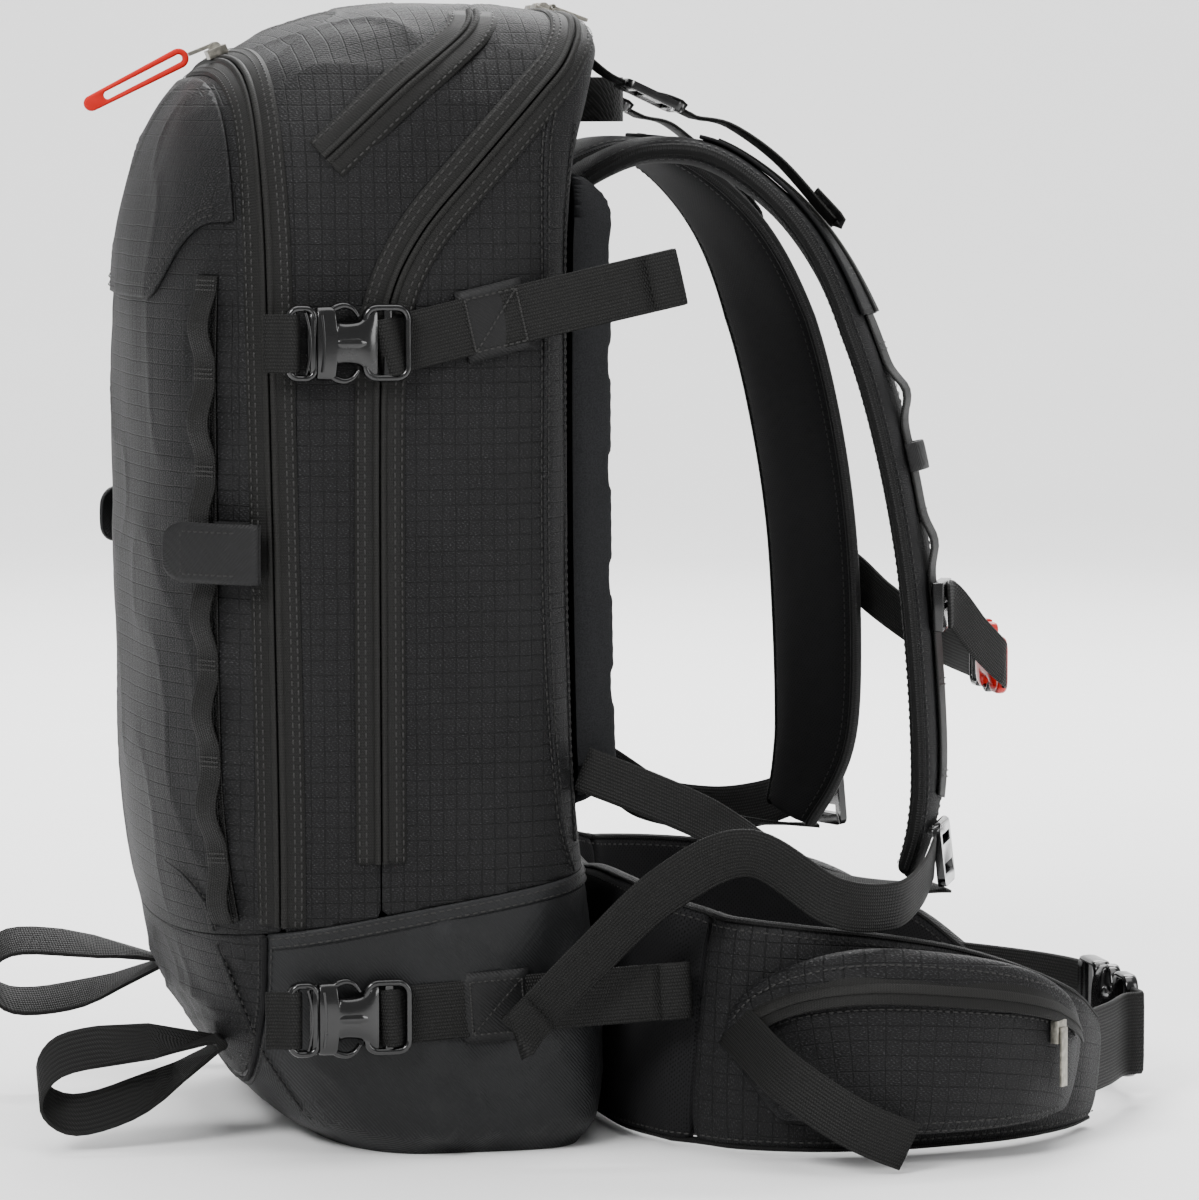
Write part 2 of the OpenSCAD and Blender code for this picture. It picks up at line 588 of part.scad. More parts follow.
// Frame of a ladder lock: three bars, the first one round.
lock_w = web_w + 7;
lock_l = 27;
module ladder_lock() {
  difference() {
    linear_extrude(3.6, center = true) hull() for (x = [3, lock_l - 4]) for (s = [-1, 1])
      translate([x, s * (lock_w / 2 - 4)]) circle(r = 4, $fn = 32);
    translate([0, 0, -5]) linear_extrude(10) for (x = [4, lock_l - 10]) window(x, 4.5, lock_w - 8);
  }
  rotate([90, 0, 0]) cylinder(r = 2, h = lock_w - 8, center = true, $fn = 32);
}
lifter_y = -56;
LIFTER_AT = harness([106, lifter_y, 457]);
lifter_tilt = 25;
LIFTER_DIR = [-cos(lifter_tilt), 0, sin(lifter_tilt)];
module lifter_lock() {
  color([0.04, 0.04, 0.04]) translate(LIFTER_AT) rotate([0, 180 + lifter_tilt, 0]) ladder_lock();
}
module load_lifter_webbing() {
  lock_end = LIFTER_AT + (lock_l + 0.5) * LIFTER_DIR;
  lock_bar = LIFTER_AT - 2.8 * LIFTER_DIR;
  color([0.07, 0.07, 0.06]) both_sides() {
    // from the crown to the lock
    strap([[rear_at(0.95 * body_h) + 0.6, lifter_y, 0.952 * body_h], lock_end + [-7, 0, 3.6],
      lock_end], [0, 1, 0], web_w - 3);
    // from the lock down the pad, then doubled back as a loop
    strap([lock_bar, lock_bar - 3 * LIFTER_DIR, lock_bar - 7 * LIFTER_DIR,
      harness([130, lifter_y - 6, 449]), harness([150, lifter_y - 14, 434]),
      harness([169, lifter_y - 20, 412]), harness([174, lifter_y - 22, 406])], [0, 1, 0], web_w - 5);
  }
}
SHOULDER_LOCK_AT = harness([216, -109.5, 139]);
module shoulder_lock() {
  color([0.04, 0.04, 0.04]) translate(SHOULDER_LOCK_AT) rotate([0, 0, -pad_turn]) rotate([0, 84, 0])
    ladder_lock();
}
// A point of the loose tail: it lies over the belt, and a share of it follows the body's side.
function over_belt(q, by_side) = [harness(q)[0], q[1] - by_side * (body_w - 280) / 2,
  q[2] + 0.95 * (belt_h - 112)];
web_grow = 0.4 * (web_w - 25);   // keeps wider webbing clear of the lock's edge
root_lift = 4.3 + 0.1 * web_grow;
// The adjusting webbing: taut back to the pack, and the loose tail laid over the belt.
module shoulder_webbing() {
  color([0.07, 0.07, 0.06]) both_sides() {
    root_z = 0.334 * body_h;
    strap([[back_at(112, root_z) + root_lift, -112, root_z], harness([100, -122, 148]),
      harness([160, -122, 117]), SHOULDER_LOCK_AT + [0, -2.5, -28.6]],
      [[0, 0.25, 1], [0, 0.3, 0.95], [0.2, 0.9, 0.3], [0.4, 0.92, 0]], web_w - 5);
    strap([harness([208.5, -125.6 - web_grow, 126]), over_belt([196, -150, 117], 0),
      over_belt([176, -176, 112], 0), over_belt([146, -190, 117], 0.2),
      over_belt([112, -176, 137], 0.5), over_belt([78, -162, 120], 1),
      over_belt([44, -157, 88], 1), over_belt([14, -156, 58], 1)], [0, -0.25, 1], web_w - 3);
  }
}

// ---- hip belt
belt_mid = belt_h / 2 + 4;
LUMBAR = [[103, -132.7, belt_h * 0.92, belt_t], [99, -128.6, belt_h * 0.93, belt_t],
  [92.5, -121.5, belt_h * 0.95, belt_t + 1],
  [80, -88, belt_h, belt_t + 2], [76, -45, belt_h, belt_t + 3], [76, 0, belt_h * 0.96, belt_t + 3],
  [76, 45, belt_h, belt_t + 3], [80, 88, belt_h, belt_t + 2], [92.5, 121.5, belt_h * 0.95, belt_t + 1],
  [99, 128.6, belt_h * 0.93, belt_t], [103, 132.7, belt_h * 0.92, belt_t]];
belt_foot = 3;
belt_grow = (belt_t - 15) / 2;   // keeps the inner faces in place when the belt is made thicker
belt_shift = rear_at(0.08 * body_h) - 66 + belt_grow;
function belt(q) = [q[0] + belt_shift, q[1], belt_foot + q[2] / 2, q[2], q[3]];
module lumbar_pad() {
  color([0.09, 0.09, 0.10]) padded([for (q = LUMBAR) belt(q)], [0, 0, 1], upright = true);
}
WING = [[103.7, -133.4, belt_h * 0.92, belt_t], [107.5, -137.3, belt_h * 0.91, belt_t],
  [117, -147, belt_h * 0.90, belt_t],
  [140, -158, belt_h * 0.88, belt_t], [168, -163, belt_h * 0.85, belt_t],
  [202, -161, belt_h * 0.79, belt_t],
  [238, -151, belt_h * 0.68, belt_t - 1], [268, -131, belt_h * 0.55, belt_t - 2],
  [286, -108, belt_h * 0.42, belt_t - 4]];
// The wing, grown by o on its faces.
module wing(o) {
  padded([for (q = WING) let (b = belt(q)) [b[0], b[1], b[2], b[3] + 2 * o, b[4] + 2 * o]], [0, 0, 1],
    upright = true);
}
module belt_wing() { color([0.09, 0.09, 0.10]) wing(0); }
pocket_rise = 10;
POCKET = [[118, -160, 48, 4], [132, -170, 70, 14], [160, -183, 82, 26], [195, -186, 80, 26],
  [228, -178, 72, 24], [252, -162, 58, 16], [266, -148, 40, 5]];
module belt_pocket() {
  color([0.12, 0.12, 0.13]) one_mesh() difference() {
    padded([for (q = POCKET) let (b = belt(q))
      [b[0], b[1], b[2] + pocket_rise, b[3] * belt_h / 112, b[4] * pocket_t / 32]], [0, 0, 1],
      square = 3, upright = true);
    wing(seat);
  }
}
module pocket_slider() {
  color([0.45, 0.44, 0.40]) translate([251.2 + belt_shift, -178.2, 55 * belt_h / 112])
    rotate([0, 0, 45]) {
      cube([8, 3.6, 10], center = true);
      translate([-2.5, -3.2, -24]) cube([5, 1.2, 26]);
      translate([-1.5, -3.2, -3]) cube([3, 3, 4]);
    }
}
belt_z = 30;
belt_buckle_x = 326;
belt_buckle_w = belt_web_w + 10;
belt_socket_l = 30;
belt_latch_l = 26;
// Webbing from the wing's tip to the buckle, which it meets end_y from the middle.
module belt_strap(end_y) {
  z = belt_foot + belt_z;
  x = belt_shift;
  color([0.07, 0.07, 0.06]) {
    strap([[286.6 + x, -107.2, z], [303 + x, -86, z], [317 + x, -64, z],
      [belt_buckle_x + x, -end_y - 14, z], [belt_buckle_x + x, -end_y, z]], [0, 0, 1], belt_web_w, 3);
    // the stabiliser's loose tail, down the outside of the wing
    strap([[110 + x, -152.5 - belt_grow, 60], [114 + x, -172, 54], [124 + x, -200, 42], [150 + x, -211, 24],
      [176 + x, -208, 12]], [0.4, -0.1, 1], web_w - 3);
  }
}
module at_belt_buckle() {
  translate([belt_buckle_x + belt_shift, 0, belt_foot + belt_z]) rotate([0, 90, 0])
    rotate([0, 0, 90]) children();
}
module belt_socket() {
  color([0.05, 0.05, 0.05]) at_belt_buckle() mirror([1, 0, 0])
    socket_shape(belt_buckle_w, belt_socket_l, 15, 11);
}
module belt_latch() {
  color([0.05, 0.05, 0.05]) at_belt_buckle() mirror([1, 0, 0])
    latch_base_shape(belt_buckle_w, belt_latch_l, 9);
}
module belt_prongs() {
  color([0.05, 0.05, 0.05]) at_belt_buckle() mirror([1, 0, 0]) prongs_shape(belt_buckle_w, 22, 11);
}

// ---- sternum strap
sternum_z = 236;
sternum_w = 20;
STERNUM_AT = harness([258, -30, 204]);
CLIP_AT = harness([218.5, -100.1, sternum_z]);
sternum_socket_l = 20;
sternum_frame_l = 12;
sternum_latch_l = 14;
module sternum_clip() {
  color([0.05, 0.05, 0.05]) translate(CLIP_AT) rotate([0, 0, -pad_turn]) difference() {
    cube([5, 28, 22], center = true);
    cube([10, 20, 3], center = true);
  }
}
clip_face = 2.5 + gap + web_t / 2 + 0.8;
SEWN_RIGHT = CLIP_AT + clip_face * [cos(pad_turn), -sin(pad_turn), 0];
SEWN_LEFT = [SEWN_RIGHT[0], -SEWN_RIGHT[1], SEWN_RIGHT[2]];
BACKWARDS = [sin(pad_turn), cos(pad_turn), 0];
module sternum_webbing_right() {
  end = STERNUM_AT - [0, sternum_socket_l + sternum_frame_l + 0.7, 0];
  color([0.07, 0.07, 0.06]) strap([SEWN_RIGHT - 8 * BACKWARDS, SEWN_RIGHT, SEWN_RIGHT + 8 * BACKWARDS,
    harness([240, -84, 220]), end - [2, 8, -2], end], [0, 0.1, 1], sternum_w);
}
module sternum_webbing_left() {
  end = STERNUM_AT + [0, sternum_latch_l + 0.9, 0];
  back = [BACKWARDS[0], -BACKWARDS[1], 0];
  color([0.07, 0.07, 0.06]) strap([SEWN_LEFT - 8 * back, SEWN_LEFT, SEWN_LEFT + 8 * back,
    harness([238, 74, 222]), harness([253, 36, 208]), end + [0, 8, 0.2], end], [0, 0.1, 1], sternum_w);
}
module at_sternum() { translate(STERNUM_AT) rotate([0, 90, 0]) rotate([0, 0, 90]) children(); }
module sternum_socket() {
  color([0.80, 0.05, 0.03]) at_sternum() {
    mirror([1, 0, 0]) socket_shape(sternum_w + 6, sternum_socket_l, sternum_frame_l, 8);
    // whistle moulded on the upper edge
    translate([-16, -sternum_w / 2 - 10, -3]) cube([14, 8, 6]);
  }
}
module sternum_latch() {
  color([0.05, 0.05, 0.05]) at_sternum() mirror([1, 0, 0])
    latch_base_shape(sternum_w + 6, sternum_latch_l, 6.4);
}
module sternum_prongs() {
  color([0.05, 0.05, 0.05]) at_sternum() mirror([1, 0, 0]) prongs_shape(sternum_w + 6, 14, 8);
}

// ---- the part
module flip() { mirror([0, 1, 0]) children(); }
rear_shell();
base_tub();
back_foam();
frame_sheet();
frame_stays();
lining_sleeves();
lumbar_pad();
shoulder_pad();  // shoulder_pad_right
flip() shoulder_pad();  // shoulder_pad_left
shoulder_webbing();
load_lifter_webbing();
compression_straps();
side_buckle_sockets();
main_zip_rear_tape();
haul_handle();
front_section_shell();
pocket_divider();
section_zip_tapes();
goggle_zip();
lid_shell();
lid_webbing();
front_zip_tape();
axe_loop(-axe_y, axe_z, -14);  // axe_loop_right
axe_loop(axe_y, axe_z + 14, -2);  // axe_loop_left
flip() shaft_keeper();  // shaft_keeper_right
shaft_keeper();  // shaft_keeper_left
side_latch(upper_strap_z);  // upper_latch_right
flip() side_latch(upper_strap_z);  // upper_latch_left
union() {  // lower_latch_right
  side_latch(lower_strap_z);
  side_prongs(lower_strap_z);
}
flip() {  // lower_latch_left
  side_latch(lower_strap_z);
  side_prongs(lower_strap_z);
}
side_prongs(upper_strap_z);  // upper_prongs_right
flip() side_prongs(upper_strap_z);  // upper_prongs_left
main_slider(-1);  // main_slider_right
main_slider(1);  // main_slider_left
main_pull(-1);  // main_pull_right
main_pull(1);  // main_pull_left
front_slider();
front_pull();
belt_wing();  // belt_wing_right
flip() belt_wing();  // belt_wing_left
belt_pocket();  // belt_pocket_right
flip() belt_pocket();  // belt_pocket_left
belt_strap(belt_socket_l + 15.5);  // belt_webbing_right
flip() belt_strap(belt_latch_l + 0.5);  // belt_webbing_left
belt_socket();
belt_latch();
belt_prongs();
pocket_slider();  // pocket_slider_right
flip() pocket_slider();  // pocket_slider_left
lifter_lock();  // lifter_lock_right
flip() lifter_lock();  // lifter_lock_left
shoulder_lock();  // shoulder_lock_right
flip() shoulder_lock();  // shoulder_lock_left
sternum_clip();  // sternum_clip_right
flip() sternum_clip();  // sternum_clip_left
sternum_webbing_right();
sternum_webbing_left();
sternum_socket();
sternum_latch();
sternum_prongs();
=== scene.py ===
"""The looks of a ski-touring backpack: cloth, webbing, zips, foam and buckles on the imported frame.

Lengths are in millimetres until a mesh is made. X runs from the pack to the wearer, Y to the
wearer's left and Z up, so "right" is the -Y side.
"""

import math

import bmesh
import bpy
import numpy as np
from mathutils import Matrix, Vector, noise


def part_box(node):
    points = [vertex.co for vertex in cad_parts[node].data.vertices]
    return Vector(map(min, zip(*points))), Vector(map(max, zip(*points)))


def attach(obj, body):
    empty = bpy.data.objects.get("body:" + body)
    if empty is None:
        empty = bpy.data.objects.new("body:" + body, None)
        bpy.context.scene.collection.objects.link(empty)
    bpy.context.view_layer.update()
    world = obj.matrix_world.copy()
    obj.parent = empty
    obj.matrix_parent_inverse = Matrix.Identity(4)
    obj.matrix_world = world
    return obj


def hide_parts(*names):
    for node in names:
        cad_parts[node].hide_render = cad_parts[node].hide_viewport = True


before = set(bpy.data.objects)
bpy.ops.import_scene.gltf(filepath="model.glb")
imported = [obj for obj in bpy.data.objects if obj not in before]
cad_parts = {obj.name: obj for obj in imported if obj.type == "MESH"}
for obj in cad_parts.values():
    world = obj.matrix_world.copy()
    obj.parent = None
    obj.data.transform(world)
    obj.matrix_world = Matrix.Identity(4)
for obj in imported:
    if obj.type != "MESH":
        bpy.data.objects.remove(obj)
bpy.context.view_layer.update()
MM = 0.001


# ---- curves and numbers
def smooth_table(xs, ys):
    """A monotone cubic through the points, as a function."""
    xs, ys = np.array(xs, float), np.array(ys, float)
    step = np.diff(xs)
    slope = np.diff(ys) / step
    grade = np.zeros(len(xs))
    for i in range(1, len(xs) - 1):
        if slope[i - 1] * slope[i] > 0:
            a, b = 2 * step[i] + step[i - 1], step[i] + 2 * step[i - 1]
            grade[i] = (a + b) / (a / slope[i - 1] + b / slope[i])
    grade[0], grade[-1] = slope[0], slope[-1]

    def at(x):
        x = np.clip(x, xs[0], xs[-1])
        i = np.clip(np.searchsorted(xs, x) - 1, 0, len(xs) - 2)
        t = (x - xs[i]) / step[i]
        return (ys[i] * (1 + 2 * t) * (1 - t) ** 2 + grade[i] * step[i] * t * (1 - t) ** 2
                + ys[i + 1] * t * t * (3 - 2 * t) + grade[i + 1] * step[i] * t * t * (t - 1))
    return at


def through(points, step):
    """A smooth curve through the points, with a point about every step."""
    p = np.array(points, float)
    out = []
    for i in range(len(p) - 1):
        a, b, c, d = p[max(i - 1, 0)], p[i], p[i + 1], p[min(i + 2, len(p) - 1)]
        n = max(1, round(np.linalg.norm((c - b)[:3]) / step))
        for t in np.arange(n) / n:
            out.append(0.5 * (2 * b + (c - a) * t + (2 * a - 5 * b + 4 * c - d) * t * t
                              + (3 * b - a - 3 * c + d) * t ** 3))
    return np.array(out + [p[-1]])


def unit(v):
    return v / np.maximum(np.linalg.norm(v, axis=-1, keepdims=True), 1e-9)


def run_of(p):
    """The length along a curve at each of its points."""
    return np.concatenate([[0], np.cumsum(np.linalg.norm(np.diff(p[:, :3], axis=0), axis=1))])


def evenly(p, step):
    """The curve again, with its points the same distance apart."""
    s = run_of(p)
    n = max(2, round(s[-1] / step) + 1)
    t = np.linspace(0, s[-1], n)
    return np.stack([np.interp(t, s, p[:, k]) for k in range(p.shape[1])], 1)


def smoothly(x, lo, hi):
    t = np.clip((x - lo) / (hi - lo), 0, 1)
    return t * t * (3 - 2 * t)


def mirror(p):
    q = np.array(p, float)
    q[..., 1] *= -1
    return q


# ---- the body's surface, as in the CAD model
TALL, WIDE, DEEP = 503, 280, 186
SECTIONS = [
    (0.000, -0.33, 0.31, 0.42), (0.024, -0.42, 0.345, 0.457), (0.06, -0.51, 0.355, 0.479),
    (0.10, -0.585, 0.355, 0.493), (0.19, -0.672, 0.325, 0.5), (0.27, -0.71, 0.30, 0.5),
    (0.36, -0.725, 0.28, 0.5), (0.66, -0.731, 0.27, 0.5), (0.785, -0.72, 0.272, 0.496),
    (0.835, -0.694, 0.28, 0.489), (0.875, -0.66, 0.295, 0.478), (0.91, -0.608, 0.32, 0.46),
    (0.942, -0.52, 0.345, 0.432), (0.962, -0.43, 0.36, 0.395), (0.98, -0.33, 0.34, 0.345),
    (0.994, -0.2, 0.24, 0.26), (1.0, -0.06, 0.1, 0.13)]
heights = [s[0] * TALL for s in SECTIONS]
front_of = smooth_table(heights, [s[1] * DEEP for s in SECTIONS])
rear_of = smooth_table(heights, [s[2] * DEEP for s in SECTIONS])
half_of = smooth_table(heights, [s[3] * WIDE for s in SECTIONS])
FRONT_ROUND, REAR_ROUND, WIDEST = 2.5, 6, 0.43


def level(p):
    """Below 0 inside the body, 0 on its surface and above 0 outside it."""
    z = np.clip(p[:, 2], 0.02, TALL - 0.02)
    f, r, h = front_of(z), rear_of(z), half_of(z)
    m = f + WIDEST * (r - f)
    dx = p[:, 0] - m
    n = np.where(dx < 0, FRONT_ROUND, REAR_ROUND)
    k = np.where(dx < 0, -dx / (m - f), dx / (r - m))
    return (k ** n + (np.abs(p[:, 1]) / h) ** n) ** (1 / n) - 1


def outward(p):
    """The slope of level() at each point."""
    g = np.zeros_like(p)
    for k in range(3):
        e = np.zeros(3)
        e[k] = 0.4
        g[:, k] = (level(p + e) - level(p - e)) / 0.8
    return g


def snap(p, lift=0.0):
    """The points moved onto the body's surface, then lifted off it."""
    p = np.array(p, float).reshape(-1, 3)
    for _ in range(5):
        g = outward(p)
        p = p - level(p)[:, None] * g / np.maximum((g * g).sum(1), 1e-9)[:, None]
    return p + unit(outward(p)) * np.reshape(lift, (-1, 1))


def side_y(x, z):
    """How far the side panel stands from the middle at x and z."""
    f, r, h = front_of(z), rear_of(z), half_of(z)
    m = f + WIDEST * (r - f)
    k, n = ((m - x) / (m - f), FRONT_ROUND) if x < m else ((x - m) / (r - m), REAR_ROUND)
    return h * max(0, 1 - min(1, k) ** n) ** (1 / n)


def front_x(y, z):
    f, r, h = front_of(z), rear_of(z), half_of(z)
    m = f + WIDEST * (r - f)
    return m - (m - f) * max(0, 1 - min(1, abs(y) / h) ** FRONT_ROUND) ** (1 / FRONT_ROUND)


BOOT_Z, BOOT_RISE = 95, 30
FOOT_X = front_x(0, BOOT_Z)


def fold_z(x):
    return BOOT_Z + BOOT_RISE / DEEP * (x - FOOT_X)


MAIN = through([(-0.226, 0), (-0.226, 0.25), (-0.226, 0.66), (-0.205, 0.74), (-0.13, 0.80),
                (0.01, 0.86), (0.15, 0.915), (0.25, 0.955), (0.30, 1.0), (0.31, 1.1)], 0.01)
MAIN = MAIN * [DEEP, TALL]


def hem_z(y):
    """The height of the flap's hem, which rises towards the sides."""
    return 374 + 34 * smoothly(np.abs(y), 62, 112)


def main_x(z):
    return np.interp(z, MAIN[:, 1], MAIN[:, 0])


def front_zip_x(z):
    return -0.452 * DEEP - 0.018 * (z - BOOT_Z)


def over_crown(line, low, wide=104):
    """The line where a side-view curve, x as a function of z, crosses the body, right to left."""
    z = low
    side = []
    while side_y(line(z), z) > wide:
        side.append((line(z), -side_y(line(z), z), z))
        z += 2.5
    first = side[-1]
    top = []
    for y in np.arange(-wide, 1, 3.0):
        lo, hi = first[2] - 4, TALL + 4
        for _ in range(30):
            mid = (lo + hi) / 2
            if level(np.array([[line(mid), y, mid]]))[0] < 0:
                lo = mid
            else:
                hi = mid
        top.append((line(lo), y, lo))
    half = np.array(side + top)
    whole = np.concatenate([half, mirror(half)[::-1][1:]])
    return evenly(whole, 2.5)


# ---- shader maths
class Value:
    """A socket that takes part in arithmetic."""

    def __init__(self, shade, socket):
        self.shade, self.socket = shade, socket

    def maths(self, how, other=None, swap=False):
        a, b = (other, self) if swap else (self, other)
        return self.shade.node("ShaderNodeMath", {0: a, 1: b}, operation=how)

    def __add__(self, o):
        return self.maths("ADD", o)

    __radd__ = __add__

    def __mul__(self, o):
        return self.maths("MULTIPLY", o)

    __rmul__ = __mul__

    def __sub__(self, o):
        return self.maths("SUBTRACT", o)

    def __rsub__(self, o):
        return self.maths("SUBTRACT", o, swap=True)

    def __truediv__(self, o):
        return self.maths("DIVIDE", o)

    def part(self):
        return self.maths("FRACT")

    def size(self):
        return self.maths("ABSOLUTE")

    def wave(self):
        """A sine of the value in turns, from 0 to 1."""
        return (self * (2 * math.pi)).maths("SINE") * 0.5 + 0.5

    def most(self, o):
        return self.maths("MAXIMUM", o)

    def between(self, lo, hi):
        """0 below lo, 1 above hi and smooth between."""
        return self.shade.node("ShaderNodeMapRange", {0: self, 1: lo, 2: hi},
                               interpolation_type="SMOOTHSTEP")


class Shade:
    """A material being made."""

    def __init__(self, name):
        self.material = bpy.data.materials.new(name)
        self.material.use_nodes = True
        self.tree = self.material.node_tree
        self.skin = self.tree.nodes["Principled BSDF"]

    def node(self, kind, inputs=None, out=0, **settings):
        made = self.tree.nodes.new(kind)
        for key, value in settings.items():
            setattr(made, key, value)
        for key, value in (inputs or {}).items():
            if value is not None:
                self.give(made.inputs[key], value)
        return Value(self, made.outputs[out])

    def give(self, socket, value):
        if isinstance(value, Value):
            self.tree.links.new(value.socket, socket)
        else:
            socket.default_value = value

    def flat(self):
        """The cloth's own two directions, in millimetres."""
        uv = self.node("ShaderNodeUVMap", uv_map="cloth")
        split = self.node("ShaderNodeSeparateXYZ", {0: uv})
        return split * 1000, Value(self, split.socket.node.outputs[1]) * 1000

    def place(self, stretch=(1, 1, 1)):
        """Object coordinates in millimetres, stretched."""
        xyz = self.node("ShaderNodeTexCoord", out=3)
        s = [1000 * k for k in stretch]
        return self.node("ShaderNodeMapping", {"Vector": xyz, "Scale": s})

    def grain(self, where, scale, detail=2.0, rough=0.55):
        return self.node("ShaderNodeTexNoise", {"Vector": where, "Scale": scale, "Detail": detail,
                                                "Roughness": rough})

    def blend(self, t, a, b):
        a, b = [(*c, 1) if isinstance(c, tuple) and len(c) == 3 else c for c in (a, b)]
        return self.node("ShaderNodeMix", {0: t, 6: a, 7: b}, out=2, data_type="RGBA")

    def finish(self, colour, rough, bump=None, depth=0.0003, strength=1.0, **fixed):
        self.give(self.skin.inputs["Base Color"], colour if isinstance(colour, Value)
                  else (*colour, 1))
        self.give(self.skin.inputs["Roughness"], rough)
        for key, value in fixed.items():
            self.give(self.skin.inputs[key.replace("_", " ")], value)
        if bump is not None:
            normal = self.node("ShaderNodeBump", {"Height": bump, "Distance": depth,
                                                  "Strength": strength})
            self.give(self.skin.inputs["Normal"], normal)
        return self.material


def ripstop(name, base, light, pitch=6.6):
    """Ripstop twill: flecked cloth, its light flecks partly painted glints, with a raised thread every few
    millimetres each way.
    """
    s = Shade(name)
    u, v = s.flat()
    cloth = s.node("ShaderNodeCombineXYZ", {0: u, 1: v})
    wobble = s.grain(cloth, 0.05) * 1.2
    u, v = u + wobble, v + wobble
    twill = ((u + v) * 0.47).wave() * (0.35 + 0.65 * ((u - v) * 0.36).wave())
    stretched = s.node("ShaderNodeMapping", {"Vector": cloth, "Scale": (1.0, 2.6, 1)})
    # the light flecks: the twill's own fleck, partly painted glints of light on the yarn
    fleck_and_glint = s.grain(stretched, 0.95, 1.5).between(0.48, 0.72)
    across = ((u / pitch).part() - 0.5).size().between(0.07, 0.015)
    along = ((v / pitch).part() - 0.5).size().between(0.07, 0.015)
    line = across.most(along)
    worn = s.grain(cloth, 0.012, 3).between(0.3, 0.75)
    # painted glints: the flecks are blended towards the light colour
    colour = s.blend(fleck_and_glint * (0.12 + twill * 0.88), base, light)
    colour = s.blend(line * 0.75, colour, tuple(c * 0.35 for c in base))
    colour = s.blend(worn * 0.07, colour, light)
    bump = twill * 0.35 + fleck_and_glint * 0.45 - line * 0.9
    return s.finish(colour, 0.62 - fleck_and_glint * 0.16, bump, 0.0003, 1.0, Specular_IOR_Level=0.16)


def plain_weave(name, base, light, pitch=0.9, rough=0.75, depth=0.0002):
    s = Shade(name)
    u, v = s.flat()
    cloth = s.node("ShaderNodeCombineXYZ", {0: u, 1: v})
    over = (u / pitch).wave() * (v / pitch).wave()
    mottle = s.grain(cloth, 0.03, 3)
    colour = s.blend(over * 0.6 + mottle.between(0.35, 0.7) * 0.4, base, light)
    return s.finish(colour, rough, over + mottle * 0.5, depth, 0.8, Specular_IOR_Level=0.14)


def coated(name, base, light, rough=0.48):
    """Cloth with a rubbery coating: a faint pebble and soft handling marks."""
    s = Shade(name)
    where = s.place()
    pebble = s.grain(where, 1.1, 2)
    cloud = s.grain(where, 0.014, 4)
    scuff = s.grain(s.place((1, 1, 0.25)), 0.06, 5).between(0.56, 0.74)
    colour = s.blend(cloud.between(0.3, 0.7) * 0.5, base, light)
    colour = s.blend(scuff * 0.18, colour, tuple(min(1, c * 1.9) for c in light))
    u, v = s.flat()
    twill = ((u + v) * 0.55).wave() * 0.7 + ((u - v) * 0.21).wave() * 0.3
    return s.finish(colour, rough + cloud * 0.1 + scuff * 0.1, pebble * 0.5 + cloud + twill, 0.0002, 0.8,
                    Specular_IOR_Level=0.22)


def webbing(name, base, light, pitch=1.5):
    """Flat woven webbing: ribs along it, crossed by the weft."""
    s = Shade(name)
    u, v = s.flat()
    rib = (u / pitch).wave()
    weft = (v / 1.15 + (u / (pitch * 2)).part().between(0.49, 0.51) * 0.5).wave()
    fuzz = s.grain(s.node("ShaderNodeCombineXYZ", {0: u, 1: v}), 0.6, 3)
    colour = s.blend(rib * weft * 0.8 + fuzz * 0.25, base, light)
    return s.finish(colour, 0.66 - rib * 0.12, rib * 0.7 + weft * 0.8 + fuzz * 0.3, 0.0003, 0.9,
                    Specular_IOR_Level=0.16)


def zip_cloth(name, base, light):
    s = Shade(name)
    u, v = s.flat()
    bone = (u / 0.8 + v / 1.3).wave() * 0.6 + (v / 1.3).wave() * 0.4
    colour = s.blend(bone * 0.7, base, light)
    return s.finish(colour, 0.6, bone, 0.00022, 0.8, Specular_IOR_Level=0.18)


def moulded(name, base, rough=0.17, coat=0.3, marks=0.3):
    """Injection-moulded plastic, glossy with a fine texture and handling marks."""
    s = Shade(name)
    where = s.place()
    fine = s.grain(where, 2.2, 2)
    smear = s.grain(where, 0.07, 4).between(0.4, 0.75)
    colour = s.blend(smear * marks, base, tuple(min(1, c * 1.6 + 0.003) for c in base))
    return s.finish(colour, rough + smear * 0.12, fine, 0.00004, 0.5, Coat_Weight=coat,
                    Coat_Roughness=0.07, Specular_IOR_Level=0.4)


def plated(name, base, rough=0.34):
    s = Shade(name)
    where = s.place()
    wear = s.grain(where, 0.35, 4).between(0.42, 0.7)
    colour = s.blend(wear, base, tuple(min(1, c * 1.7) for c in base))
    return s.finish(colour, rough + wear * 0.2, s.grain(where, 1.6, 2), 0.00005, 0.5, Metallic=0.9)


def foam(name, base, light):
    s = Shade(name)
    where = s.place()
    pores = s.grain(where, 1.5, 3)
    cloud = s.grain(where, 0.02, 3)
    colour = s.blend(pores.between(0.35, 0.65) * 0.7 + cloud * 0.3, base, light)
    return s.finish(colour, 0.88, pores + cloud * 0.5, 0.0004, 0.8, Specular_IOR_Level=0.12)


def mesh_cloth(name, base, light, pitch=2.2):
    """Spacer mesh: a net of small dark holes."""
    s = Shade(name)
    u, v = s.flat()
    shift = (v / pitch).part().between(0.49, 0.51) * 0.5
    a = ((u / pitch + shift).part() - 0.5).size()
    b = ((v / pitch * 2).part() - 0.5).size()
    hole = (a * a + b * b).between(0.075, 0.02)
    colour = s.blend(hole, light, base)
    return s.finish(colour, 0.85, 1 - hole, 0.0004, 0.9, Specular_IOR_Level=0.10)


def thread(name, base):
    s = Shade(name)
    twist = s.grain(s.place(), 2.5, 2)
    colour = s.blend(twist, base, tuple(min(1, c * 1.8) for c in base))
    return s.finish(colour, 0.5, twist, 0.0001, 0.6, Specular_IOR_Level=0.2)
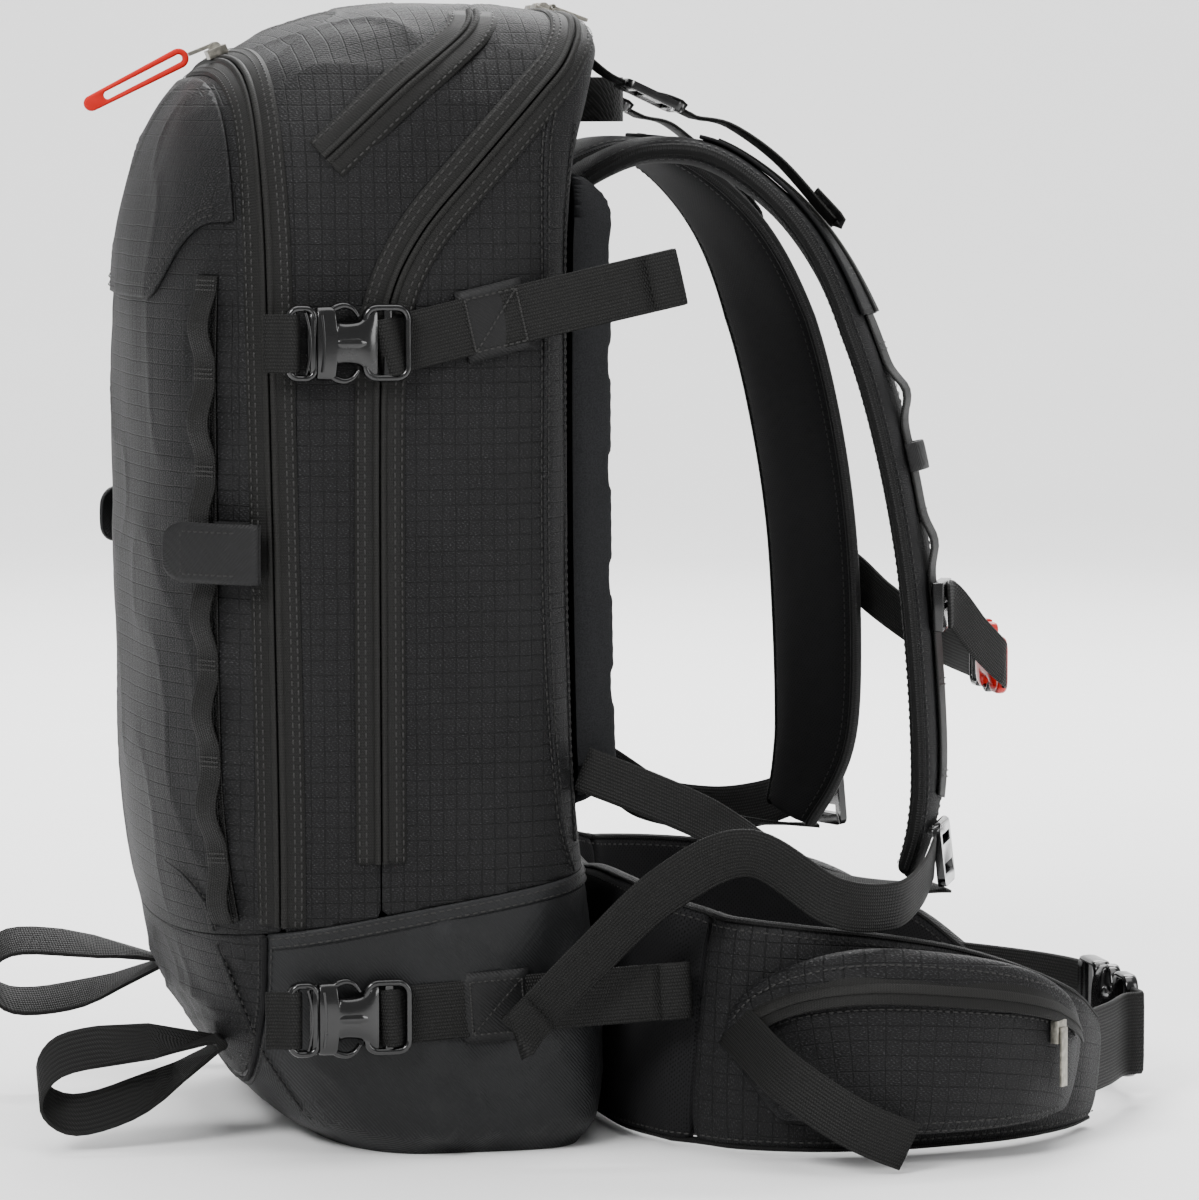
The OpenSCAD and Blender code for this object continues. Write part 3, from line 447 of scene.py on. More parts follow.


# the ripstop's second colour goes to its light flecks, partly painted glints, and to its worn patches
CLOTH = ripstop("charcoal ripstop", (0.0022, 0.0022, 0.0024), (0.042, 0.042, 0.0440))
PLAIN = plain_weave("plain black nylon", (0.0022, 0.0022, 0.0024), (0.0085, 0.0085, 0.0092))
LINING = plain_weave("grey lining", (0.10, 0.10, 0.105), (0.17, 0.17, 0.175), 0.7)
BOOT = coated("coated slate cloth", (0.0048, 0.0050, 0.0054), (0.0092, 0.0096, 0.0104))
RUBBER_CLOTH = coated("black rubbery patch", (0.0040, 0.0040, 0.0042), (0.0080, 0.0080, 0.0083), 0.5)
WEB = webbing("black webbing", (0.0016, 0.0016, 0.0015), (0.0125, 0.0124, 0.0118))
TAPE = zip_cloth("zip tape", (0.0016, 0.0016, 0.0014), (0.0095, 0.0092, 0.0084))
COIL = zip_cloth("zip coil", (0.0014, 0.0014, 0.0013), (0.018, 0.0175, 0.016))
BINDING = webbing("edge binding", (0.0020, 0.0020, 0.0020), (0.0095, 0.0095, 0.0095), 2.2)
PLASTIC = moulded("black acetal", (0.0016, 0.0016, 0.0017))
RED = moulded("red acetal", (0.50, 0.006, 0.004), 0.3, 0.15, 0.12)
RED_CORD = webbing("red cord", (0.36, 0.004, 0.003), (0.62, 0.018, 0.010), 1.0)
METAL = plated("dark plated metal", (0.20, 0.19, 0.165))
FOAM = foam("grey moulded foam", (0.0085, 0.0088, 0.0096), (0.0200, 0.0206, 0.0220))
MESH = mesh_cloth("spacer mesh", (0.0010, 0.0010, 0.0010), (0.0085, 0.0085, 0.0090))
THREAD = thread("charcoal thread", (0.0125, 0.0123, 0.0118))


# ---- making meshes
def piece(name, verts, faces, materials, body, uv=None, indices=None):
    """A mesh object in place, riding on a body. uv is one pair per vertex, in millimetres."""
    mesh = bpy.data.meshes.new(name)
    mesh.from_pydata([tuple(v) for v in np.asarray(verts) * MM], [], [tuple(f) for f in faces])
    for m in materials if isinstance(materials, (list, tuple)) else [materials]:
        mesh.materials.append(m)
    if indices is not None:
        mesh.polygons.foreach_set("material_index", list(indices))
    layer = mesh.uv_layers.new(name="cloth")
    if uv is not None:
        corner = np.zeros(len(mesh.loops), np.int32)
        mesh.loops.foreach_get("vertex_index", corner)
        layer.data.foreach_set("uv", (np.asarray(uv, float)[corner] * MM).ravel())
    mesh.polygons.foreach_set("use_smooth", [True] * len(mesh.polygons))
    mesh.update()
    made = bpy.data.objects.new(name, mesh)
    bpy.context.scene.collection.objects.link(made)
    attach(made, body)
    return made


def modify(made, kind, **settings):
    """Adds a modifier and applies it."""
    m = made.modifiers.new(kind.lower(), kind)
    for key, value in settings.items():
        setattr(m, key, value)
    graph = bpy.context.evaluated_depsgraph_get()
    baked = bpy.data.meshes.new_from_object(made.evaluated_get(graph))
    made.modifiers.clear()
    old = made.data
    made.data = baked
    bpy.data.meshes.remove(old)
    return made


def recalculated(made):
    bm = bmesh.new()
    bm.from_mesh(made.data)
    bmesh.ops.recalc_face_normals(bm, faces=bm.faces)
    bm.to_mesh(made.data)
    bm.free()
    return made


def grid_faces(rows, cols, start=0, close=False):
    faces = []
    wide = cols if close else cols - 1
    for i in range(rows - 1):
        for j in range(wide):
            k = (j + 1) % cols
            a, b = start + i * cols, start + (i + 1) * cols
            faces.append((a + j, a + k, b + k, b + j))
    return faces


def gather(parts):
    """Joins (verts, faces, uv) pieces into one."""
    verts, faces, uv, n = [], [], [], 0
    for v, f, t in parts:
        verts.append(np.asarray(v, float).reshape(-1, 3))
        uv.append(np.asarray(t, float).reshape(-1, 2))
        faces += [tuple(i + n for i in q) for q in f]
        n += len(verts[-1])
    return np.concatenate(verts), faces, np.concatenate(uv)


def sewn(name, body, parts):
    """Stitches and bar tacks gathered into one piece of thread."""
    v, f, _ = gather(parts)
    return piece(name, v, f, THREAD, body)


def joined(name, body, parts, material):
    """Parts gathered into one piece, with its faces turned outwards."""
    v, f, t = gather(parts)
    return recalculated(piece(name, v, f, material, body, uv=t))


def slab(top, bottom, uv):
    """A closed sheet between two grids of points, rows by columns."""
    rows, cols = top.shape[:2]
    n = rows * cols
    faces = grid_faces(rows, cols)
    faces += [tuple(i + n for i in reversed(f)) for f in grid_faces(rows, cols)]
    rim = ([(0, j) for j in range(cols)] + [(i, cols - 1) for i in range(1, rows)]
           + [(rows - 1, j) for j in range(cols - 2, -1, -1)] + [(i, 0) for i in range(rows - 2, 0, -1)])
    rim = [i * cols + j for i, j in rim]
    for a, b in zip(rim, rim[1:] + rim[:1]):
        faces.append((b, a, a + n, b + n))
    return (np.concatenate([top.reshape(-1, 3), bottom.reshape(-1, 3)]), faces,
            np.concatenate([uv.reshape(-1, 2)] * 2))


def clip(verts, faces, value):
    """The part of a mesh where value, one number per vertex, is above 0."""
    verts, extra, cut, out = np.asarray(verts), [], {}, []

    def edge(a, b):
        key = (min(a, b), max(a, b))
        if key not in cut:
            t = value[a] / (value[a] - value[b])
            cut[key] = len(verts) + len(extra)
            extra.append(verts[a] + t * (verts[b] - verts[a]))
        return cut[key]
    inside = value > 0
    for f in faces:
        held = [bool(inside[i]) for i in f]
        if all(held):
            out.append(tuple(f))
        elif any(held):
            ring = []
            for i, a in enumerate(f):
                b = f[(i + 1) % len(f)]
                if inside[a]:
                    ring.append(a)
                if inside[a] != inside[b]:
                    ring.append(edge(a, b))
            if len(ring) > 2:
                out.append(tuple(ring))
    whole = np.concatenate([verts, np.array(extra).reshape(-1, 3)])
    used = sorted({i for f in out for i in f})
    place = {old: new for new, old in enumerate(used)}
    return whole[used], [tuple(place[i] for i in f) for f in out]


def body_grid():
    """The whole body's surface as rows of points, base to crown, evenly spaced."""
    fine = np.linspace(0.02, TALL - 0.02, 6000)
    run = run_of(np.stack([half_of(fine) + rear_of(fine) * 0.5, fine * 1.0, fine * 0], 1))
    z = np.interp(np.linspace(0, run[-1], 196), run, fine)
    turn = np.linspace(0, 2 * math.pi, 4001)
    n = np.where(np.cos(turn) < 0, FRONT_ROUND, REAR_ROUND)
    cx = np.sign(np.cos(turn)) * np.abs(np.cos(turn)) ** (2 / n)
    cy = np.sign(np.sin(turn)) * np.abs(np.sin(turn)) ** (2 / n)
    ring = np.stack([cx * np.where(cx < 0, 80, 106), cy * 140, cx * 0], 1)
    around = run_of(ring)
    cols = 324
    pick = np.linspace(0, around[-1], cols + 1)[:-1]
    ax, ay = np.interp(pick, around, cx), np.interp(pick, around, cy)
    rows = []
    for h in z:
        f, r, b = front_of(h), rear_of(h), half_of(h)
        m = f + WIDEST * (r - f)
        rows.append(np.stack([m + ax * np.where(ax < 0, m - f, r - m), ay * b, ax * 0 + h], 1))
    rows = np.array(rows)
    base, mid = rows[0].copy(), rows[0].mean(0)
    for k in (0.8, 0.55, 0.28, 0.06):
        rows = np.concatenate([[mid + (base - mid) * [k, k, 1]], rows])
    top, mid = rows[-1].copy(), rows[-1].mean(0)
    for k in (0.82, 0.6, 0.36, 0.14, 0.02):
        ring = mid + (top - mid) * [k, k, 1]
        ring[:, 2] += 0.9 * (1 - k * k)
        rows = np.concatenate([rows, [ring]])
    return rows


# ---- the fabric shells
ROWS = body_grid()
SKIN = ROWS.reshape(-1, 3)
SKIN_FACES = grid_faces(ROWS.shape[0], ROWS.shape[1], close=True)
STRAP_HEIGHTS = (357.1, 66)


def folds(p):
    """How far the cloth stands off its pattern: soft dents, drag lines and crumples, in mm."""
    out = np.zeros(len(p))
    for i, (x, y, z) in enumerate(p):
        slant = Vector((x * 0.011 + z * 0.006, y * 0.013, z * 0.0052 - x * 0.005))
        wide = noise.noise(slant * 1.6) * 2.4
        ridge = 1 - abs(noise.noise(Vector((x * 0.021 + z * 0.011, y * 0.02, z * 0.011 - 3)))) * 2
        small = noise.noise(Vector((x * 0.06, y * 0.05, z * 0.035 + 9))) * 0.35
        out[i] = wide + 1.5 * max(0, ridge) ** 5 + small
    z = p[:, 2]
    low = 1 - smoothly(z, 30, 110)
    out *= 0.55 + 0.55 * low + 0.25 * smoothly(z, 430, 480)
    for i in np.nonzero(z < fold_z(p[:, 0]))[0]:
        x, y, h = p[i]
        crease = 1 - abs(noise.noise(Vector((x * 0.024 + y * 0.014, 5, h * 0.03 + x * 0.016)))) * 2.4
        crumple = 1 - abs(noise.noise(Vector((x * 0.05 - h * 0.03, 11, h * 0.055 + y * 0.02)))) * 2.4
        base = 1 - smoothly(h, 46, 80)
        out[i] += (2.6 * max(0, crease) ** 3 + 1.5 * max(0, crumple) ** 3 * base) * smoothly(h, 3, 16)
    side = np.abs(p[:, 1]) > 100
    for at in STRAP_HEIGHTS:
        near = np.exp(-((z - at) / 20) ** 2) * side
        out = out * (1 - 0.75 * near) - 0.5 * near
    for line in (main_x(z), front_zip_x(z)):
        out *= smoothly(np.abs(p[:, 0] - line), 5, 26) * 0.85 + 0.15
    seam = np.abs(z - fold_z(p[:, 0]))
    out *= smoothly(seam, 1, 14)
    return out * smoothly(z, 0, 14) * (0.35 + 0.65 * smoothly(-p[:, 0], -44, -20))


def fabric_shell(name, body, nodes, value, cloth, thick=2.8, lift=0.0):
    """The part of the body's skin where value is above 0, with its lining."""
    p, faces = clip(SKIN, SKIN_FACES, value)
    n = unit(outward(p))
    outer = p + n * (folds(p) + lift)[:, None]
    outer[:, 2] = np.maximum(outer[:, 2], 0)
    inner = p - n * thick
    inner[:, 2] = np.maximum(inner[:, 2], min(thick, 2.8))
    count = len(p)
    seen = {}
    for f in faces:
        for a, b in zip(f, f[1:] + f[:1]):
            seen[(a, b)] = seen.get((a, b), 0) + 1
    rim = [(b, a, a + count, b + count) for a, b in seen if (b, a) not in seen]
    back = [tuple(i + count for i in reversed(f)) for f in faces]
    made = piece(name, np.concatenate([outer, inner]), faces + back + rim, [cloth, LINING], body,
                 indices=[0] * len(faces) + [1] * (len(back)) + [0] * len(rim))
    mesh = made.data
    uv = mesh.uv_layers["cloth"].data
    for f in mesh.polygons:
        nx, ny, nz = f.normal
        for k in f.loop_indices:
            x, y, z = mesh.vertices[mesh.loops[k].vertex_index].co
            if nz > 0.72 or nz < -0.72:
                uv[k].uv = (x, y)
            elif abs(nx) > 0.72:
                uv[k].uv = (y, z)
            else:
                uv[k].uv = (x * 1.15, z)
    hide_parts(*nodes)
    return made


above = SKIN[:, 2] - fold_z(SKIN[:, 0])
ahead = main_x(SKIN[:, 2]) - SKIN[:, 0]
lid_side = front_zip_x(SKIN[:, 2]) - SKIN[:, 0]
fabric_shell("rear_cloth", "root", ["rear_shell"], np.minimum(above, -ahead) - 0.4, CLOTH)
BOOT_FRONT = -90.5
fabric_shell("boot_cloth", "root", ["base_tub"], np.minimum(-above, SKIN[:, 0] - BOOT_FRONT), BOOT)
fabric_shell("front_base_cloth", "root", ["base_tub"],
             np.minimum(-above, BOOT_FRONT - SKIN[:, 0]), CLOTH)
flap = np.minimum(np.minimum(lid_side - 11.6, SKIN[:, 2] - hem_z(SKIN[:, 1])), above)
fabric_shell("flap_cloth", "lid", ["lid_shell"], flap, CLOTH, thick=0.1, lift=1.7)
fabric_shell("front_cloth", "front_section", ["front_section_shell"],
             np.minimum(np.minimum(above, ahead), -lid_side) - 0.4, CLOTH)
fabric_shell("lid_cloth", "lid", ["lid_shell"], np.minimum(above, lid_side) - 0.4, CLOTH)


# ---- strips sewn on the body
def beside(line, offsets, lift):
    """Rows of points on the skin beside a line, at the offsets to its left, lifted off the skin."""
    along = unit(np.gradient(line, axis=0))
    out = unit(outward(snap(line)))
    left = unit(np.cross(out, along))
    lift = np.broadcast_to(lift, (len(offsets),))
    rows = [snap(line + left * o, h) for o, h in zip(offsets, lift)]
    return np.stack(rows, 1)


def strip(name, line, lo, hi, thick, material, body, lift=0.15, across=5):
    """A flat strip on the skin, from lo to hi beside the line."""
    offsets = np.linspace(lo, hi, across)
    edge = np.full(across, lift + thick)
    edge[[0, -1]] = lift + thick * 0.55
    top, under = beside(line, offsets, edge), beside(line, offsets, lift - 0.9)
    s = run_of(line)
    uv = np.stack(np.broadcast_arrays(offsets[None, :], s[:, None]), 2)
    v, f, t = slab(top, under, uv)
    return piece(name, v, f, material, body, uv=t)


def coil(name, line, side, body, lift=1.2):
    """Half of a zip's teeth beside its line: a ribbed bead."""
    line = evenly(line, 1.25)
    offsets = np.array([0.35, 0.5, 1.4, 2.5, 3.0]) * side
    high = np.array([0.1, 1.25, 1.5, 1.1, 0.1])
    top = beside(line, offsets, 0)
    n = unit(outward(top.reshape(-1, 3))).reshape(top.shape)
    rib = 1 - 0.28 * (np.arange(len(line)) % 2)
    top = top + n * (lift + high[None, :] * rib[:, None])[:, :, None]
    s = run_of(line)
    uv = np.stack(np.broadcast_arrays(offsets[None, :], s[:, None]), 2)
    faces = grid_faces(*top.shape[:2])
    if side < 0:
        faces = [tuple(reversed(f)) for f in faces]
    return piece(name, top.reshape(-1, 3), faces, COIL, body, uv=uv.reshape(-1, 2))


def dashes(points, normals, pitch=3.6, long=2.5, wide=0.75, high=0.42):
    """Small raised stitches along a line of points."""
    s = run_of(points)
    count = max(2, int(s[-1] / pitch))
    parts = []
    at = (np.arange(count) + 0.5) * s[-1] / count
    mid = np.stack([np.interp(at, s, points[:, k]) for k in range(3)], 1)
    up = unit(np.stack([np.interp(at, s, normals[:, k]) for k in range(3)], 1))
    ahead_ = unit(np.stack([np.interp(at, s, np.gradient(points[:, k])) for k in range(3)], 1))
    left = unit(np.cross(up, ahead_))
    ring = [(-0.5, 0, -0.3), (-0.34, -0.5, 0.1), (-0.34, 0.5, 0.1), (-0.2, 0, 1), (0.2, 0, 1),
            (0.34, -0.5, 0.1), (0.34, 0.5, 0.1), (0.5, 0, -0.3)]
    quads = [(0, 1, 3), (0, 3, 2), (1, 5, 4, 3), (3, 4, 6, 2), (7, 4, 5), (7, 6, 4)]
    verts = np.stack([mid + ahead_ * a * long + left * b * wide + up * c * high
                      for a, b, c in ring], 1)
    faces = [tuple(i + 8 * k for i in q) for k in range(count) for q in quads]
    return verts.reshape(-1, 3), faces, np.zeros((count * 8, 2))


def stitching(name, body, lines):
    """Stitches on the skin along each line of (points, offset beside it, lift)."""
    parts = []
    for line, offset, lift in lines:
        p = beside(evenly(line, 2.5), [offset], lift)[:, 0]
        parts.append(dashes(p, outward(p)))
    return sewn(name, body, parts)


main_line = over_crown(main_x, 132)
lid_line = over_crown(front_zip_x, fold_z(-84) + 3)


def zip_half(name, line, side, body, node=None):
    tape = strip(name + "_tape", line, 0.5 * side, 11.0 * side, 1.0, TAPE, body)
    if side < 0:
        tape.data.flip_normals()
    coil(name + "_coil", line, side, body, 1.05)
    if node:
        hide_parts(*node)


# left of the right-to-left line is the side towards the wearer
side_test = beside(main_line, [5.0], 0)[len(main_line) // 2, 0]
REARWARD = 1 if side_test[0] > main_line[len(main_line) // 2][0] else -1
zip_half("main_zip_rear", main_line, REARWARD, "root", ["main_zip_rear_tape"])
zip_half("main_zip_front", main_line, -REARWARD, "front_section", ["section_zip_tapes"])
zip_half("pocket_zip_rear", lid_line, REARWARD, "front_section")
zip_half("pocket_zip_front", lid_line, -REARWARD, "lid", ["front_zip_tape"])
stitching("rear_zip_stitches", "root", [(main_line, REARWARD * 9.6, 1.3),
                                        (main_line, REARWARD * 6.6, 1.3)])
stitching("front_zip_stitches", "front_section",
          [(main_line, -REARWARD * 9.6, 1.3), (main_line, -REARWARD * 6.6, 1.3),
           (lid_line, REARWARD * 9.4, 1.3), (lid_line, REARWARD * 6.6, 1.3)])
stitching("lid_zip_stitches", "lid", [(lid_line, -REARWARD * 9.4, 1.3),
                                      (lid_line, -REARWARD * 6.6, 1.3)])


def skin_line(points, side):
    """A line on the side panel through (x, z) points."""
    flat = through(points, 3.0)
    return snap(np.array([(x, side * side_y(x, z) * 0.999, z) for x, z in flat]))


def boot_edge():
    """The boot's top edge, once round the body."""
    turn = np.linspace(0, 2 * math.pi, 700)
    line = []
    for a in turn:
        lo, hi = 0, 190
        for _ in range(24):
            mid = (lo + hi) / 2
            x, y = -20 + mid * math.cos(a), mid * math.sin(a)
            if level(np.array([[x, y, fold_z(x)]]))[0] < 0:
                lo = mid
            else:
                hi = mid
        line.append((x, y, fold_z(x)))
    return evenly(np.array(line), 2.5)


edge = boot_edge()
edge = np.array([q for q in np.roll(edge, -int(np.argmin(edge[:, 0])), axis=0) if q[0] > BOOT_FRONT])
lower = 1 if beside(edge, [4.0], 0)[40, 0, 2] < edge[40, 2] else -1
recalculated(strip("boot_hem", edge, -0.2 * lower, 7.0 * lower, 0.9, BOOT, "root", lift=0.1, across=6))
stitching("boot_stitches", "root", [(edge, lower * 2.0, 1.15), (edge, lower * 5.6, 1.15)])


def ridge_seam(name, body, line, gap=2.2):
    """A seam: the cloth's turned edge as a low ridge, with a row of stitches beside it."""
    recalculated(strip(name, line, -0.9, 0.9, 0.75, CLOTH, body, lift=0.1, across=5))
    stitching(name + "_stitches", body, [(line, gap, 0.55), (line, -gap, 0.55)])


def hem_line():
    y = np.linspace(-112, 112, 90)
    z = hem_z(y)
    line = []
    for a, b in zip(y, z):
        q = np.array([[front_x(a, b), a, b]])
        line.append(snap(q)[0])
    line = np.array(line)
    keep = front_zip_x(line[:, 2]) - line[:, 0] > 12.5
    return evenly(line[keep], 3)


hem = hem_line()
over = 1 if beside(hem, [4.0], 0)[10, 0, 2] > hem[10, 2] else -1
stitching("flap_stitches", "lid", [(hem, over * 2.6, 2.4), (hem, over * 6.4, 2.4)])
for name, side in (("right", -1), ("left", 1)):
    base_seam = skin_line([(BOOT_FRONT, fold_z(BOOT_FRONT) - 1), (-90, 70), (-90.5, 40), (-86, 16)], side)
    recalculated(strip("boot_piping_" + name, base_seam, -1.3, 1.3, 1.5, PLAIN, "root", 0.1))
    stitching("boot_seam_stitches_" + name, "root", [(base_seam, 3.2, 0.6), (base_seam, -3.2, 0.6)])
    ridge_seam("gusset_seam_" + name, "root",
               skin_line([(46, fold_z(46) + 2), (38, 157), (32, 245), (32, 374), (33, 440), (40, 466)],
                         side))
    ridge_seam("back_seam_" + name, "root",
               skin_line([(47.5, fold_z(47) + 14), (47, 160), (44, 244), (43.5, 331), (44, 410),
                          (49, 450)], side), 1.8)
    front_seam = snap(np.array([(front_x(side * y, z), side * y, z) for y, z in
                                through([(66, 126), (84, 122), (98, 112), (101, fold_z(-118) + 3)], 2)]))
    ridge_seam("lid_seam_" + name, "lid", evenly(front_seam, 2.5))
    low_seam = snap(np.array([(front_x(side * y, z), side * y, z) for y, z in
                              through([(101, fold_z(-118) - 3), (104, 70), (103, 40), (96, 14)], 2)]))
    ridge_seam("front_base_seam_" + name, "root", evenly(low_seam, 2.5))


# ---- webbing
def frames(path, across):
    """The tangent, across and upward directions along a path."""
    along = unit(np.gradient(path[:, :3], axis=0))
    a = np.array(across, float)
    if a.ndim == 1:
        a = np.broadcast_to(a, (len(path), 3))
    else:
        s = np.linspace(0, 1, len(a))
        t = run_of(path) / run_of(path)[-1]
        a = np.stack([np.interp(t, s, a[:, k]) for k in range(3)], 1)
    a = unit(a - along * (a * along).sum(1, keepdims=True))
    return along, a, np.cross(along, a)


def band(points, across, wide, thick):
    """Flat webbing along a path, as verts, faces and uv; its edges are thinner than its middle."""
    path = evenly(through(points, 2.0), 3.0)
    _, a, up = frames(path, across)
    s = run_of(path)
    share = np.array([-0.5, -0.47, -0.3, 0, 0.3, 0.47, 0.5])
    thin = np.array([0.45, 0.85, 1, 1, 1, 0.85, 0.45]) * thick / 2
    width = np.full(len(path), float(wide))
    place = path[:, None, :] + a[:, None, :] * (share[None, :] * width[:, None])[:, :, None]
    top, under = place + up[:, None, :] * thin[None, :, None], place - up[:, None, :] * thin[None, :, None]
    uv = np.stack(np.broadcast_arrays(share[None, :] * wide, s[:, None]), 2)
    return slab(top, under, uv)


def webbing_piece(name, body, runs, nodes=(), material=None):
    """Bands joined into one piece; each run is the arguments of band()."""
    made = joined(name, body, [band(*run) for run in runs], material or WEB)
    if nodes:
        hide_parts(*nodes)


def box_stitch(path, a, up, at, long, wide, lift=1.0):
    """A bar tack or box of stitches on a band, centred on the path's point number at."""
    c, t = path[at], unit(path[min(at + 1, len(path) - 1)] - path[at - 1])
    n, w = up[at], a[at]
    parts = []
    for end in (-1, 1):
        line = np.array([c + t * end * long / 2 - w * wide / 2, c + t * end * long / 2 + w * wide / 2])
        parts.append(dashes(line + n * lift, np.array([n, n]), pitch=1.6, long=1.6))
    for end in (-1, 1):
        line = np.array([c - t * long / 2 + w * end * wide / 2, c + t * long / 2 + w * end * wide / 2])
        parts.append(dashes(line + n * lift, np.array([n, n]), pitch=2.6, long=2.0))
    cross = np.array([c - t * long / 2 - w * wide / 2, c + t * long / 2 + w * wide / 2])
    parts.append(dashes(cross + n * lift, np.array([n, n]), pitch=2.6, long=2.0))
    return parts


def hard_copy(node, body, material, width=0.55, segments=2, name=None):
    """A moulded or cast piece from its CAD shape, with its edges rounded."""
    source = bpy.data.objects[node]
    made = bpy.data.objects.new(name or node + "_moulding", source.data.copy())
    bpy.context.scene.collection.objects.link(made)
    made.matrix_world = source.matrix_world.copy()
    made.data.transform(made.matrix_world)
    made.matrix_world.identity()
    bm = bmesh.new()
    bm.from_mesh(made.data)
    bmesh.ops.remove_doubles(bm, verts=bm.verts, dist=1e-6)
    bmesh.ops.dissolve_limit(bm, angle_limit=math.radians(2), verts=bm.verts, edges=bm.edges)
    sharp = [e for e in bm.edges if len(e.link_faces) == 2 and e.calc_face_angle(0) > 0.6]
    bmesh.ops.bevel(bm, geom=sharp, offset=width * MM, segments=segments, profile=0.6,
                    affect="EDGES", clamp_overlap=True)
    bm.to_mesh(made.data)
    bm.free()
    made.data.materials.clear()
    made.data.materials.append(material)
    for f in made.data.polygons:
        f.use_smooth = True
        f.material_index = 0
    made.data.set_sharp_from_angle(angle=math.radians(40))
    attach(made, body)
    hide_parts(node)
    return made


SIDES = (("right", -1), ("left", 1))
belly = -0.3 * DEEP


def strap_y(z):
    return side_y(belly, z) + 1.2 + 0.3 + 4.5 + 1.4


PARTING = -0.382 * DEEP
FRAME_END = PARTING + 40
PATCH = -0.03 * DEEP


def compression_strap(side, z, rise, tail):
    """From the ladder lock back to the patch and on as a loose tail with a folded end."""
    y, sewn = strap_y(z), side_y(PATCH, z) + 1.5

    def at(x, out):
        return (x, side * out, z + (x - FRAME_END) * rise)
    run = [at(FRAME_END - 13, y - 3.4), at(FRAME_END - 11, y + 0.4), at(FRAME_END - 8.7, y + 3.2),
           at(FRAME_END - 5, y + 1.6), at(FRAME_END - 1, y - 2.8), at(FRAME_END + 5, y - 4.1),
           at(PATCH, sewn), at(PATCH + 30, sewn), at(PATCH + 55, sewn + 1.5), at(tail, sewn + 5)]
    end = [at(tail - 13, sewn + 6.2), at(tail - 4, sewn + 6.8), at(tail + 0.6, sewn + 6.0),
           at(tail + 0.9, sewn + 5)]
    up = (-rise, 0, 1)
    return [(run, up, 25, 1.6), (end, up, 24.6, 1.5)]


def patches(side, z, rise, long=30, high=31):
    """The rubbery patch over a strap's sewn end, with its box of stitches."""
    x0 = PATCH + 1
    mid_x = x0 + 13
    c = np.array([mid_x, side * (side_y(mid_x, z) + 3.6), z + (mid_x - FRAME_END) * rise])
    t = unit(np.array([1, 0, rise]))
    w = unit(np.array([-rise, 0, 1]))
    n = np.array([0, side, 0.0])
    rows = []
    for i in np.linspace(-0.5, 0.5, 9):
        row = []
        for j in np.linspace(-0.5, 0.5, 9):
            p = c + t * i * long + w * j * high
            fall = (abs(i) * 2) ** 6 + (abs(j) * 2) ** 6
            p[1] -= side * (1.5 * min(1, fall) + max(0, side_y(mid_x, z) - side_y(p[0], p[2])) * 0.9)
            row.append(p)
        rows.append(row)
    top = np.array(rows)
    uv = np.stack(np.meshgrid(np.linspace(0, long, 9), np.linspace(0, high, 9), indexing="ij"), 2)
    sheet = slab(top, top - n * 1.6, uv)
    path = np.array([c - t * 12, c, c + t * 12])
    sew = box_stitch(path, np.array([w] * 3), np.array([n] * 3), 1, long - 7, high - 8, 0.25)
    return sheet, sew


straps, patch_parts, patch_sew = [], [], []
for _, side in SIDES:
    for z, rise, tail in ((STRAP_HEIGHTS[0], 0.23, 88), (STRAP_HEIGHTS[1], 0.06, 93)):
        straps += compression_strap(side, z, rise, tail)
        sheet, sew = patches(side, z, rise)
        patch_parts.append(sheet)
        patch_sew += sew
webbing_piece("compression_webbing", "root", straps, ["compression_straps"])
joined("strap_patches", "root", patch_parts, RUBBER_CLOTH)
sewn("patch_stitches", "root", patch_sew)


# ---- side-release buckles, drawn about the parting line: u away from the plug, w across, t outward
def sweep(path, wide, thick, normal, closed=False, around=12):
    """A bar with a rounded section along a path; wide lies in the path's plane."""
    path = np.array(path, float)
    if closed:
        along = unit(np.roll(path, -1, 0) - np.roll(path, 1, 0))
    else:
        along = unit(np.gradient(path, axis=0))
    n = np.broadcast_to(np.array(normal, float), path.shape)
    across = unit(np.cross(n, along))
    turn = np.linspace(0, 2 * math.pi, around, endpoint=False)
    c = np.sign(np.cos(turn)) * np.abs(np.cos(turn)) ** 0.75
    k = np.sign(np.sin(turn)) * np.abs(np.sin(turn)) ** 0.75
    wide = np.broadcast_to(np.asarray(wide, float), (len(path),))
    thick = np.broadcast_to(np.asarray(thick, float), (len(path),))
    rings = (path[:, None] + across[:, None] * (c[None] * wide[:, None] / 2)[..., None]
             + n[:, None] * (k[None] * thick[:, None] / 2)[..., None])
    uv = np.zeros((len(path), around, 2))
    if not closed:
        return skin_of_plain(rings, uv)
    rings = np.concatenate([rings, rings[:1]])
    uv = np.concatenate([uv, uv[:1]])
    return rings.reshape(-1, 3), grid_faces(len(rings), around, close=True), uv.reshape(-1, 2)


def skin_of_plain(rings, uv):
    mids = rings.mean(1, keepdims=True)
    stack = np.concatenate([mids[:1] + (rings[:1] - mids[:1]) * 0.55, rings,
                            mids[-1:] + (rings[-1:] - mids[-1:]) * 0.55])
    uv = np.concatenate([uv[:1], uv, uv[-1:]])
    rows, cols = stack.shape[:2]
    faces = grid_faces(rows, cols, close=True)
    faces += [tuple(range(cols - 1, -1, -1)), tuple((rows - 1) * cols + k for k in range(cols))]
    return stack.reshape(-1, 3), faces, uv.reshape(-1, 2)


def rounded_loop(u0, u1, half, r, step=0.8):
    """A closed rounded rectangle in the buckle's plane."""
    out = []
    for cu, cw, a0 in ((u1 - r, half - r, 0), (u0 + r, half - r, 90), (u0 + r, -half + r, 180),
                       (u1 - r, -half + r, 270)):
        for a in np.radians(np.linspace(a0, a0 + 90, 9)):
            out.append((cu + r * math.cos(a), cw + r * math.sin(a), 0))
    return evenly(np.array(out + out[:1]), step)[:-1]


